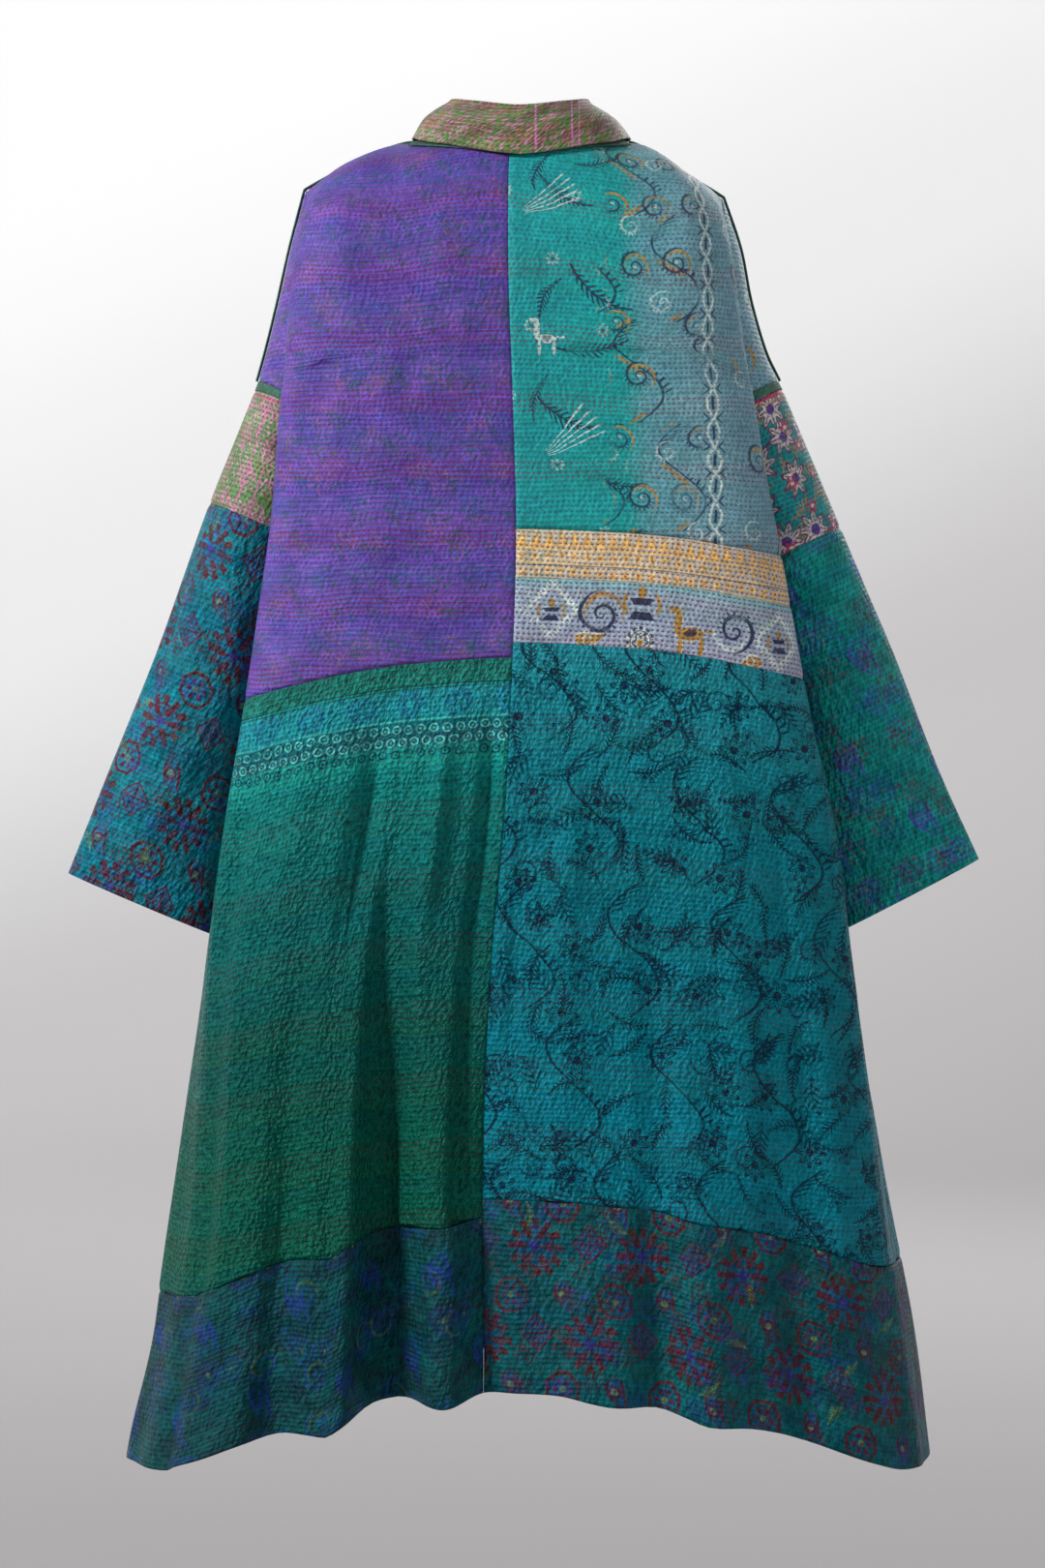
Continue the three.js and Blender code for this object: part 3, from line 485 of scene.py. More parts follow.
CREASES = {
    "back_upper_left": [(0.30, 0.12, 0.52, 0.55, 16, 2.5), (0.16, 0.35, 0.3, 0.92, 13, -2.2),
                        (0.55, 0.62, 0.92, 0.70, 15, 1.8), (0.45, 0.80, 0.85, 0.88, 12, -1.6),
                        (0.70, 0.2, 0.86, 0.5, 18, 1.6), (0.05, 0.5, 0.12, 0.97, 10, -1.8),
                        (0.62, 0.55, 0.58, 0.98, 13, 2.2), (0.42, 0.6, 0.4, 0.98, 12, -2.4)],
    "back_upper_right": [(0.72, 0.12, 0.5, 0.6, 18, 2.4), (0.88, 0.35, 0.78, 0.98, 12, -2.4),
                         (0.12, 0.6, 0.45, 0.72, 14, 1.6), (0.2, 0.85, 0.6, 0.92, 12, -1.4)],
    "back_lower_left": [(0.19, 0.0, 0.16, 1.25, 15, 6.0), (0.34, 0.0, 0.30, 1.3, 14, -8.0),
                        (0.49, 0.0, 0.45, 1.3, 16, 6.5), (0.64, -0.02, 0.61, 1.35, 13, -11.5),
                        (0.84, -0.02, 0.82, 1.3, 17, 7.5), (0.955, 0.0, 0.95, 1.3, 10, -7.5),
                        (0.39, 0.3, 0.38, 1.2, 7, 2.4), (0.73, 0.1, 0.72, 0.9, 8, -3.4)],
    "back_lower_right": [(0.13, 0.2, 0.16, 1.2, 16, 4.6), (0.31, 0.3, 0.34, 1.25, 15, -6.0),
                         (0.46, 0.05, 0.50, 1.2, 15, 4.6), (0.58, 0.25, 0.63, 1.1, 13, -5.4),
                         (0.72, 0.0, 0.78, 1.2, 17, 5.0), (0.87, 0.3, 0.89, 1.2, 12, -4.4),
                         (0.23, 0.55, 0.24, 1.1, 9, -2.6), (0.05, 0.3, 0.05, 1.0, 9, -3.4)],
    "front_upper_left": [(0.5, 0.15, 0.35, 0.7, 16, 2.2), (0.75, 0.4, 0.8, 0.95, 12, -2)],
    "front_upper_right": [(0.5, 0.15, 0.62, 0.7, 16, 2.2), (0.25, 0.4, 0.2, 0.95, 12, -2)],
    "front_lower_left": [(0.5, 0.05, 0.46, 1.2, 14, -3.4), (0.25, 0.2, 0.22, 1.2, 14, 3.4),
                         (0.75, 0.1, 0.72, 1.2, 15, 3)],
    "front_lower_right": [(0.5, 0.05, 0.54, 1.2, 14, -3.4), (0.75, 0.2, 0.78, 1.2, 14, 3.4),
                          (0.27, 0.1, 0.3, 1.2, 15, 3)],
    "back_hem_left": [(0.16, -0.4, 0.15, 1.5, 15, 5), (0.30, -0.4, 0.29, 1.4, 14, -6.5),
                      (0.46, -0.4, 0.46, 1.4, 16, 6),
                      (0.625, -0.4, 0.62, 1.4, 13, -9), (0.82, -0.4, 0.81, 1.4, 17, 6.5)],
    "back_hem_right": [(0.16, -0.4, 0.17, 1.4, 16, 4.4), (0.35, -0.4, 0.36, 1.4, 15, -5.4),
                       (0.51, -0.4, 0.52, 1.4, 15, 4.4),
                       (0.78, -0.4, 0.80, 1.4, 16, 4.4)],
}
# Each panel: its side, whether it lies behind, its seams above and below, its cells, and where its
# print starts.
PANELS = {
    "back_upper_left": ("L", True, "top", "waistL", (52, 80), "level_right"),
    "back_lower_left": ("L", True, "waistL", "borderL", (64, 84), "right"),
    "back_hem_left": ("L", True, "borderL", "hem", (80, 30), "right"),
    "back_upper_right": ("R", True, "top", "goldTop", (52, 62), "level"),
    "back_gold_band": ("R", True, "goldTop", "goldBottom", (52, 14), "top"),
    "back_figured_band": ("R", True, "goldBottom", "waistR", (52, 18), "top"),
    "back_lower_right": ("R", True, "waistR", "borderR", (64, 84), "top"),
    "back_hem_right": ("R", True, "borderR", "hem", (80, 30), "top"),
    "front_upper_left": ("L", False, "top", "waistL", (40, 76), "front edge"),
    "front_lower_left": ("L", False, "waistL", "borderL", (56, 70), "top"),
    "front_hem_left": ("L", False, "borderL", "hem", (64, 26), "top"),
    "front_upper_right": ("R", False, "top", "waistR", (40, 74), "front edge"),
    "front_lower_right": ("R", False, "waistR", "borderR", (56, 70), "top"),
    "front_hem_right": ("R", False, "borderR", "hem", (64, 26), "top"),
}
# The share of an upper panel's length at which it passes the underarm. The others lie below it.
UNDERARM_SHARES = {"back_upper_left": 10 / 15, "back_upper_right": 10 / 13,
                   "front_upper_left": 10 / 14, "front_upper_right": 10 / 14}
for name, (side, behind, top, bottom, cells, uv_from) in PANELS.items():
    dips = ("top", "sides") if bottom == "hem" else ("top", "bottom", "sides")
    place = panel_place(side, behind, top, bottom, UNDERARM_SHARES.get(name, 0))
    sheet(name, place, cells, uv_from, dips=dips, creases=CREASES.get(name, ()))


# %% [markdown]
# Each arm is a tube that opens out of the armhole. Behind the fold of the back, the dropped shoulder
# fans round the underarm to a ring above the elbow, where a dark tape joins it to the sleeve.

# %% The arms
def ring_point(side, ring, turn, forward):
    x, z, width, slope, depth = ring
    slope = math.radians(slope)
    along = width / 2 * (1 - np.cos(2 * math.pi * turn))
    return np.stack([side * (x - along * math.cos(slope)),
                     ARM_MIDDLE + forward - depth * np.sin(2 * math.pi * turn),
                     z - along * math.sin(slope)], axis=1)


def armhole(side, t, behind):
    row = UNDERARM[side] * np.sin(np.clip(t, 0, 1) * math.pi / 2)
    column = ARMHOLE_BACK + armhole_turn(t) if behind else ARMHOLE_FRONT - armhole_turn(t)
    return on_body(side * column, row, ARM_STEP)


def drop_point(side, turn, s, behind):
    rings = [armhole(side, turn, behind)]
    for ring in ARMS[side]["drop"]:
        rings.append(ring_point(side, ring, turn / 2 if behind else 1 - turn / 2, 0))
    return through(np.stack(rings), s * 4)


def shoulder_line(side, s):
    rings = [column_top(np.array([side * float(ARMHOLE_BACK)]))[0]]
    rings += [ring_point(side, ring, np.zeros(1), 0)[0] for ring in ARMS[side]["drop"]]
    low = column_top(side * lerp(2.04, ARMHOLE_BACK, np.clip(s, 0, 1)))
    high = through(np.array(rings), np.clip(s - 1, 0, 1) * 4)
    return np.where((s <= 1)[:, None], low, high)


def drop_tops(side, behind):
    s = np.linspace(0, 1, 41)
    low, high = np.zeros(41), np.full(41, 0.3)
    middle = shoulder_line(side, 1 + s)[:, 1]
    for _ in range(30):
        turn = (low + high) / 2
        inside = abs(drop_point(side, turn, s, behind)[:, 1] - middle) < TAPE_HALF + 2 * SEAM
        low, high = np.where(inside, turn, low), np.where(inside, high, turn)
    return s, low


def sleeve_point(side, turn, s):
    rings = ARMS[side]["sleeve"]
    last = len(rings) - 1
    points = [ring_point(side, ring, turn, ARM_FORWARD * k / last) for k, ring in enumerate(rings)]
    return through(np.stack(points), s)


SLEEVE_CREASES = [
    (0.06, 0.1, 0.1, 0.9, 9, -3.2), (0.2, 0.05, 0.3, 0.5, 12, 3.0), (0.36, 0.1, 0.42, 0.75, 10, -2.6),
    (0.3, 0.45, 0.2, 0.95, 12, 2.4), (0.6, 0.1, 0.66, 0.8, 13, -2.8), (0.78, 0.1, 0.84, 0.9, 14, 2.6),
    (0.12, 0.3, 0.34, 0.4, 9, -1.8), (0.1, 0.62, 0.3, 0.7, 9, 1.6),
]
BAND_CREASES = [(0.1, 0.1, 0.3, 0.7, 9, 2.0), (0.25, 0.2, 0.42, 0.9, 8, -2.2),
                (0.65, 0.1, 0.8, 0.9, 10, 2.2)]


def dress_arm(side, name):
    rings = ARMS[side]
    around = (lambda a: a) if side < 0 else (lambda a: 1 - a)
    for behind in (True, False):
        flip = behind == (side < 0)
        knots, tops = drop_tops(side, behind)

        def place(a, s, flip=flip, knots=knots, tops=tops, behind=behind):
            top = np.interp(s, knots, tops)
            return drop_point(side, lerp(top, 1, a if flip else 1 - a), s, behind)

        sheet(f"drop_{'back' if behind else 'front'}_{name}", place, (44, 20), "place")

    def tape(a, s):
        along = shoulder_line(side, 2 * s)
        along[:, 1] += (2 * a - 1 if side < 0 else 1 - 2 * a) * (TAPE_HALF + 0.4)
        along[:, 2] += 0.5
        return along

    sheet(f"shoulder_tape_{name}", tape, (4, 90), "top", dips=("sides",))

    def arm_tape(a, s):
        top = ring_point(side, rings["drop"][-1], around(a), 0)
        return lerp(top, sleeve_point(side, around(a), np.zeros_like(a)), s[:, None])

    def stretch(start, end):
        return lambda a, s: sleeve_point(side, around(a), lerp(start, end, s))

    sheet(f"sleeve_tape_{name}", arm_tape, (80, 4), "top", closed=True, dips=())
    sheet(f"sleeve_band_{name}", stretch(0, BAND_END), (80, 26), "top", closed=True, creases=BAND_CREASES)
    sheet(f"sleeve_{name}", stretch(BAND_END, len(rings["sleeve"]) - 1), (88, 72), "top", closed=True,
          dips=("top",), creases=SLEEVE_CREASES)


dress_arm(-1, "left")
dress_arm(1, "right")


# %% [markdown]
# The collar is two pieces: a stand that rises from the neck seam and a fall that turns down over it.
# The fall's crown keeps it from lying flat, so that it casts the soft shadow that a real collar does.

# %% The collar
def neckline(place):
    s = abs(place)
    return column_top(np.sign(place) * np.where(s <= 1, 2 * s, 9 + 1.95 * (s - 1)))


def collar_fold(place):
    return through(np.concatenate([COLLAR_FOLD[:0:-1] * (-1, 1, 1), COLLAR_FOLD]), (place + 2) * 2)


def collar_edge(place):
    s = abs(place)
    behind = through(COLLAR_EDGE_BACK, np.clip(s, 0, 1) * 3)
    before = through(COLLAR_EDGE_FRONT, np.clip(s - 1, 0, 1) * 3)
    spot = np.where((s <= 1)[:, None], behind, before)
    return on_body(np.sign(place) * spot[:, 0], spot[:, 1], COLLAR_LIFT)


def unit(vector):
    return vector / np.linalg.norm(vector, axis=1)[:, None]


def fold_frame(place):
    """Points on the collar's fold, and the directions out of it and up from it."""
    point = collar_fold(place)
    along = unit(collar_fold(place + 1e-3) - collar_fold(place - 1e-3))
    out = point * (1, 1, 0)
    out = unit(out - along * (out * along).sum(axis=1)[:, None])
    up = np.cross(along, out)
    return point, out, up * np.sign(up[:, 2:])


def stand_place(a, s):
    place = lerp(-2, 2, a) + 1e-6
    low = neckline(place)
    high, _, up = fold_frame(place)
    step = lerp(SEAM, STAND_IN, ease((abs(place) - 0.6) / 0.5))[:, None]
    low = low - unit(low * (1, 1, 0)) * step + (0, 0, 1) * step
    below = lerp(2.9, 6, ease((abs(place) - 1.2) / 0.5))[:, None]
    return lerp(high - up * below, low, s[:, None])


def fall_place(a, s):
    place = lerp(-2, 2, a) + 1e-6
    high, out, up = fold_frame(place)
    low = collar_edge(place)
    turn = [high + out * (1.2 + FOLD_RADIUS * math.cos(math.radians(angle)))
            + up * FOLD_RADIUS * (math.sin(math.radians(angle)) - 1) for angle in COLLAR_TURN]
    middle = lerp(turn[3], low, 0.5) + out * COLLAR_CROWN + up
    return through(np.stack([*turn, middle, low]), s * 5)


def tape_place(a, s):
    return on_body(lerp(-1.75, 1.75, a), lerp(0.008, 0.034, s), TAPE_LIFT)


sheet("collar_stand", stand_place, (90, 14), "top", dips=())
sheet("collar_fall", fall_place, (110, 40), "top", dips=(), creases=[
    (0.2, 0.5, 0.3, 0.9, 7, 1.2), (0.42, 0.45, 0.46, 0.9, 6, -1.2), (0.56, 0.5, 0.62, 0.95, 7, 1.3),
    (0.7, 0.5, 0.78, 0.9, 6, -1.0)])
sheet("neck_tape", tape_place, (60, 6), "top", dips=(), thick=0.8)

# %% [markdown]
# The cloth's look is made of a few effects that every fabric shares: rows of running stitch that
# pucker the cloth, its weave, its creased and faded wear, and small motifs set out in a repeat. Each is
# a shader group, built once. All of them read the cloth's own UV map, so that a print bends with it.

# %% Short names for shader nodes
class Value:
    """An output of a shader node. Adding or multiplying values adds the nodes that do so."""

    def __init__(self, socket):
        self.socket = socket

    def beside(self, name):
        """Another output of the same node."""
        return Value(self.socket.node.outputs[name])

    def __add__(self, other):
        return maths("ADD", self, other)

    def __radd__(self, other):
        return maths("ADD", other, self)

    def __sub__(self, other):
        return maths("SUBTRACT", self, other)

    def __rsub__(self, other):
        return maths("SUBTRACT", other, self)

    def __mul__(self, other):
        return maths("MULTIPLY", self, other)

    def __rmul__(self, other):
        return maths("MULTIPLY", other, self)

    def __truediv__(self, other):
        return maths("DIVIDE", self, other)

    def __rtruediv__(self, other):
        return maths("DIVIDE", other, self)

    def __abs__(self):
        return maths("ABSOLUTE", self)


def plug(socket, value):
    if isinstance(value, Value):
        socket.id_data.links.new(value.socket, socket)
    elif value is not None:
        socket.default_value = value


def tree_of(*values):
    return next(value for value in values if isinstance(value, Value)).socket.id_data


def add_node(kind, *values, tree=None, **settings):
    """A node in the tree of its input values, which go to its first inputs. Gives its first output."""
    node = (tree or tree_of(*values)).nodes.new("ShaderNode" + kind)
    for key, value in settings.items():
        setattr(node, key, value)
    for socket, value in zip(node.inputs, values):
        plug(socket, value)
    return Value(node.outputs[0])


def maths(operation, *values):
    return add_node("Math", *values, operation=operation)


def sin(value):
    return maths("SINE", value)


def cos(value):
    return maths("COSINE", value)


def floor(value):
    return maths("FLOOR", value)


def fract(value):
    return maths("FRACT", value)


def root(value):
    return maths("SQRT", value)


def angle(y, x):
    return maths("ARCTAN2", y, x)


def power(value, exponent):
    return maths("POWER", value, exponent)


def highest(first, second):
    return maths("MAXIMUM", first, second)


def lowest(first, second):
    return maths("MINIMUM", first, second)


def vector(operation, *values):
    return add_node("VectorMath", *values, operation=operation)


def parts(value):
    x = add_node("SeparateXYZ", value)
    return x, x.beside("Y")


def join(x, y, z=0.0):
    return add_node("CombineXYZ", x, y, z)


def step(value, low, high):
    """0 below low and 1 above high, or the other way round."""
    if low > high:
        return 1.0 - step(value, high, low)
    return add_node("MapRange", value, low, high, interpolation_type="SMOOTHSTEP")


def band(value, middle, half, soft=0.04):
    """1 within half of the middle, with soft edges."""
    return step(abs(value - middle), half + soft, max(half - soft, 0.0))


def noise(place, scale, detail=2.0, rough=0.5):
    return add_node("TexNoise", place, None, scale, detail, rough, noise_dimensions="2D")


def mix(share, first, second, blend="MIX"):
    """Two colours mixed. In a Mix node they are inputs 6 and 7 and output 2."""
    tree = tree_of(share, first, second)
    node = add_node("Mix", share, tree=tree, data_type="RGBA", blend_type=blend).socket.node
    plug(node.inputs[6], colour(first))
    plug(node.inputs[7], colour(second))
    return Value(node.outputs[2])


def ramp(share, stops, sharp=False):
    result = add_node("ValToRGB", share)
    colours = result.socket.node.color_ramp
    colours.interpolation = "CONSTANT" if sharp else "EASE"
    while len(colours.elements) < len(stops):
        colours.elements.new(0.5)
    for element, (place, tint) in zip(colours.elements, sorted(stops)):
        element.position = place
        element.color = colour(tint)
    return result


def turn(place, middle, about):
    """A place's position round a middle, turned by an angle."""
    turned = add_node("VectorRotate", vector("SUBTRACT", place, middle), rotation_type="Z_AXIS")
    plug(turned.socket.node.inputs["Angle"], about)
    return turned


def named_outputs(node):
    return {socket.name: Value(socket) for socket in node.outputs if socket.name}


def group(name, *values):
    return named_outputs(add_node("Group", *values, node_tree=bpy.data.node_groups[name]).socket.node)


def colour(value):
    """A linear colour from a web colour such as 5f48a5. Anything else stays as it is."""
    if not isinstance(value, str):
        return value
    levels = [int(value[i:i + 2], 16) / 255 for i in (0, 2, 4)]
    return (*[c / 12.92 if c <= 0.04045 else ((c + 0.055) / 1.055) ** 2.4 for c in levels], 1)


def new_group(name, numbers, outputs):
    """A group that takes a place and some numbers. Gives its inputs and a function for its outputs."""
    tree = bpy.data.node_groups.new(name, "ShaderNodeTree")
    tree.interface.new_socket("Place", in_out="INPUT", socket_type="NodeSocketVector")
    for label, value in numbers.items():
        socket = tree.interface.new_socket(label, in_out="INPUT", socket_type="NodeSocketFloat")
        socket.default_value = value
    for label in outputs:
        kind = "NodeSocketVector" if label == "Local" else "NodeSocketFloat"
        tree.interface.new_socket(label, in_out="OUTPUT", socket_type=kind)
    start, end = tree.nodes.new("NodeGroupInput"), tree.nodes.new("NodeGroupOutput")

    def finish(**ends):
        for label, value in ends.items():
            plug(end.inputs[label], value)

    return named_outputs(start), finish


# %% [markdown]
# Kantha is a plain running stitch in close rows. The thread shows as short dashes, each row starting
# at its own place, and the cloth rises between the rows and sinks under each stitch.

# %% Rows of running stitch
given, finish = new_group("kantha_rows", {"Pitch": 5.0, "Length": 6.0, "Cover": 0.6},
                          ("Thread", "Height", "Row"))
x, y = parts(given["Place"])
drift = (noise(given["Place"], 0.012, 1.0) - 0.5) * 2.2
rows = y / given["Pitch"] + drift
number = floor(rows)
off = abs(fract(rows) - 0.5) * given["Pitch"]
luck = add_node("TexWhiteNoise", None, number, noise_dimensions="1D")
along = fract(x / given["Length"] + luck * 7.0)
dash = step(given["Cover"] * 0.5 - abs(along - 0.5), -0.02, 0.06)
thread = dash * step(off, 0.75, 0.35)
held = step(off, 1.7, 0.0) * (dash * 0.55 + 0.45)
finish(Thread=thread, Height=1.0 - held + thread * 0.35, Row=number)

# %% [markdown]
# The old silk is thin, washed soft and creased all over. One group gives its weave, fine ripples that
# run along the rows, and the patchy fading of worn cloth.

# %% Weave, ripples and fading
THREADS = 12.5  # the threads of the weave, as radians of a wave in each millimetre

given, finish = new_group("worn_silk", {"Crinkle": 3.5}, ("Weave", "Ripple", "Crumple", "Fade", "Slub"))
x, y = parts(given["Place"])
finish(
    Weave=sin(x * THREADS) * sin(y * THREADS),
    Ripple=noise(join((x + y * 0.25) / given["Crinkle"], y / (given["Crinkle"] * 1.7)), 1.0, 1.0, 0.5),
    Crumple=noise(join(x * 0.04, y * 0.022), 1.0, 2.0, 0.6),
    Fade=noise(join(x * 0.02, y * 0.03), 1.0, 5.0, 0.7),
    Slub=noise(join(x * 0.02, y * 0.9), 1.0, 2.0, 0.7))

# %% [markdown]
# Prints on these saris are small block motifs: blossoms, sprigs, mango shapes, lozenges and scrolls.
# Two groups set them out, one in regular cells and one scattered and turned at random, and one group for
# each motif says where its ink lies inside a cell.

# %% Places for motifs
FULL_TURN = 6.28

given, finish = new_group("in_cells", {"Width": 60.0, "Height": 60.0, "Shift": 0.5}, ("Local", "Hash"))
x, y = parts(given["Place"])
down = y / given["Height"]
row = floor(down)
side = x / given["Width"] + row * given["Shift"]
finish(Local=join((fract(side) - 0.5) * given["Width"], (fract(down) - 0.5) * given["Height"]),
       Hash=add_node("TexWhiteNoise", join(floor(side), row), noise_dimensions="2D"))

given, finish = new_group("scattered", {"Spacing": 50.0}, ("Local", "Hash"))
spots = add_node("TexVoronoi", given["Place"], voronoi_dimensions="2D")
plug(spots.socket.node.inputs["Scale"], 1.0 / given["Spacing"])
spots.socket.node.inputs["Randomness"].default_value = 0.72
luck = parts(spots.beside("Color"))
finish(Local=turn(given["Place"], spots.beside("Position"), (luck[0] - 0.5) * FULL_TURN), Hash=luck[1])


# %% Motifs
def motif(name, marks):
    """A motif group: marks(x, y, r, a) gives its masks from the local place over the motif's size."""
    given, finish = new_group(name, {"Size": 20.0}, ("Line", "Fill", "Heart"))
    x, y = parts(vector("DIVIDE", given["Place"], join(given["Size"], given["Size"], 1.0)))
    line, fill, heart = marks(x, y, root(x * x + y * y), angle(y, x))
    finish(Line=line, Fill=fill, Heart=heart)


def blossom(petals, depth=0.3):
    def marks(x, y, r, a):
        edge = 0.68 + depth * cos(a * float(petals))
        ratio = r / edge
        ribs = step(cos(a * float(petals)), 0.8, 0.97) * step(r, 0.2, 0.3)
        line = highest(band(ratio, 0.93, 0.1), ribs * step(r, 0.7, 0.6))
        return line, step(ratio, 0.95, 0.85), step(r, 0.27, 0.2)
    return marks


def mango(x, y, r, a):
    t = (y + 0.75) * 0.55
    t = lowest(highest(t, 0.001), 0.999)
    lean = power(t, 3.0) * 0.75
    half = root(t) * (1.0 - t) * 1.3
    ratio = abs(x - lean) / (half + 0.01)
    inside = step(abs(y), 1.0, 0.9) * step(ratio, 1.02, 0.92)
    line = inside * step(ratio, 0.62, 0.72)
    heart = inside * band(r, 0.28, 0.06)
    return highest(line, heart), inside, inside * step(r, 0.2, 0.14)


def sprig(teeth, reach_out=0.36, stem_half=0.035):
    def marks(x, y, r, a):
        bent = x - y * y * 0.28
        side = abs(bent)
        inside = step(abs(y), 1.0, 0.94)
        stem = inside * step(side, stem_half * 1.4, stem_half * 0.6)
        comb = fract((y - side * 0.9) * float(teeth))
        reach = (1.0 - abs(y)) * reach_out
        leaves = step(comb, 0.5, 0.36) * step(reach + 0.04 - side, 0.0, 0.04)
        return highest(stem, inside * leaves), leaves, stem
    return marks


def lozenge(x, y, r, a):
    d = abs(x) + abs(y)
    cross = step(lowest(abs(x), abs(y)), 0.06, 0.02) * step(d, 0.8, 0.75)
    line = highest(highest(band(d, 0.9, 0.07), band(d, 0.5, 0.05)), cross)
    return line, step(d, 0.95, 0.88), step(d, 0.36, 0.3)


def wheel(x, y, r, a):
    spokes = cos(a * 12.0)
    teeth = band(r, 0.86, 0.1) * step(spokes, -0.2, 0.2)
    petals = band(r - cos(a * 6.0) * 0.1, 0.46, 0.07)
    return highest(highest(teeth, petals), band(r, 0.7, 0.03)), step(r, 0.98, 0.92), step(r, 0.26, 0.2)


def scroll(x, y, r, a):
    turns = fract(root(r) * 2.3 - a / (2 * math.pi))
    inside = step(r, 1.0, 0.92)
    line = inside * band(turns, 0.5, 0.12)
    ticks = band(turns, 0.72, 0.1) * inside * step(cos(a * 18.0), 0.3, 0.6)
    comma = band(turns, 0.2, 0.12) * (inside * step(r, 0.55, 0.7))
    return highest(line, ticks * step(r, 0.5, 0.6)), comma, step(r, 0.14, 0.1)


def brush(x, y, r, a):
    spread = step(abs(a - math.pi / 2), 0.27, 0.24)
    hairs = step(cos(a * 52.0), 0.55, 0.85)
    fan = spread * hairs * (step(r, 1.0, 0.9) * step(r, 0.14, 0.18))
    return fan, fan, spread * (band(r, 0.1, 0.035) * step(hairs, 0.3, 0.6))


def temple(x, y, r, a):
    height = 0.5 - y * 0.5
    side = abs(x)
    steps = fract(height * 4.0) * 0.16
    edge = 0.78 - height * 0.72 - steps
    inside = step(edge - side, 0.0, 0.06) * step(abs(y), 1.0, 0.95)
    return band(edge - side, 0.06, 0.07), inside, step(r, 0.3, 0.24)


def vine(x, y, r, a):
    swing = sin(y * math.pi) * 0.42
    off = x - swing
    stem = step(abs(off), 0.035, 0.015)
    comb = step(fract((y + off * 0.5) * 11.0), 0.42, 0.3)
    beside = step(off, 0.0, 0.03) * step(off, 0.2, 0.16)
    patch = step(sin(y * (2 * math.pi)), 0.2, 0.4)
    leaf = comb * beside * patch
    ochre = band(off, -0.13, 0.05) * step(cos(y * (2 * math.pi)), 0.3, 0.6)
    return highest(stem, leaf), ochre, leaf


def chain(x, y, r, a):
    side, level = abs(x), abs(y)
    bow = cos(y * (math.pi / 2)) * 0.44
    strand = band(side - bow, 0.0, 0.1)
    slope = 0.3 + (1.0 - level) * 1.1
    bracket = band(side - slope, 0.0, 0.08) * step(level, 0.6, 0.68)
    dash = step(side, 0.13, 0.07) * step(level, 0.5, 0.42)
    return strand, highest(bracket, dash), dash


def foal(x, y, r, a):
    def blob(cx, cy, rx, ry):
        dx, dy = (x - cx) / rx, (y - cy) / ry
        return root(dx * dx + dy * dy)
    shape = blob(0.05, 0.1, 0.5, 0.24)
    for spot in ((-0.42, -0.3, 0.15, 0.5), (-0.55, -0.72, 0.24, 0.13), (-0.3, 0.6, 0.09, 0.42),
                 (0.42, 0.6, 0.09, 0.42), (0.7, -0.02, 0.2, 0.07)):
        shape = lowest(shape, blob(*spot))
    return band(shape, 1.03, 0.1), step(shape, 1.04, 0.96), step(blob(0.05, 0.08, 0.24, 0.13), 1.0, 0.8)


def lamp(x, y, r, a):
    side = abs(x)
    bowl = step(side + y * 0.8, 0.5, 0.44) * band(y, -0.05, 0.16)
    foot = step(side - y * 0.75, 0.12, 0.05) * band(y, 0.58, 0.2)
    dx, dy = x / 0.24, (y + 0.52) / 0.34
    flame = step(root(dx * dx + dy * dy), 1.0, 0.85)
    arms = band(r, 0.88, 0.09) * step(abs(y), 0.5, 0.42)
    return highest(bowl, foot), highest(flame, arms), foot


def comb_lozenge(x, y, r, a):
    d = abs(x) + abs(y)
    along = abs(x) - abs(y)
    teeth = step(fract(along * 7.0), 0.55, 0.42)
    comb = band(d, 0.88, 0.11) * teeth
    return highest(comb, band(d, 0.76, 0.06)), step(d, 0.7, 0.66), step(d, 0.2, 0.14)


def speckles(x, y, r, a):
    grain = noise(join(x * 3.6, y * 4.6), 1.0, 1.0)
    dots = step(grain, 0.52, 0.6) * step(r, 1.0, 0.6)
    return dots, step(r, 1.0, 0.7), dots


def medallion(x, y, r, a):
    outer = band(r, 0.82, 0.16) * step(cos(a * 12.0), -0.3, 0.1)
    inner = band(r, 0.46, 0.15) * step(cos(a * 6.0), -0.2, 0.2)
    cross = step(lowest(abs(x), abs(y)), 0.07, 0.03) * step(r, 0.32, 0.26)
    line = highest(highest(outer, inner), highest(cross, band(r, 0.66, 0.025)))
    return line, step(r, 0.74, 0.64), step(r, 0.2, 0.14)


def octagon(x, y, r, a):
    side, level = abs(x), abs(y)
    d = highest(highest(side, level), (side + level) * 0.7071)
    petals = band(r, 0.42, 0.16) * step(cos(a * 6.0), -0.2, 0.3)
    return highest(band(d, 0.84, 0.09), petals), step(d, 0.7, 0.6), step(r, 0.2, 0.14)


def ring(x, y, r, a):
    return band(r, 0.66, 0.15), step(r, 0.98, 0.9), step(r, 0.26, 0.2)


MOTIFS = {
    "ring": ring, "medallion": medallion, "octagon": octagon, "vine": vine, "chain": chain, "foal": foal,
    "lamp": lamp, "comb_lozenge": comb_lozenge, "speckles": speckles, "five_petals": blossom(5),
    "eight_petals": blossom(8, 0.18), "mango": mango, "fern": sprig(5.0), "willow": sprig(3.2, 0.5),
    "spray": sprig(6.0, 0.22, 0.032), "lozenge": lozenge, "wheel": wheel, "scroll": scroll,
    "brush": brush, "temple": temple,
}
for name, marks in MOTIFS.items():
    motif(name, marks)

# %% [markdown]
# A fabric is then a ground colour, a list of printed layers, and rows of stitch whose thread changes
# colour in groups. The function below joins these into one Principled material for each fabric.

# %% Make a fabric
def layer(how, size, shape, scale, start=None, across=None, down=None, skip=0.0, **inks):
    """One printed layer of a motif: where its repeat starts, the part of the cloth in mm that it covers
    with the softness of that part's ends, the share of its places left empty, and its inks."""
    return how, size, shape, scale, start, across, down, skip, inks


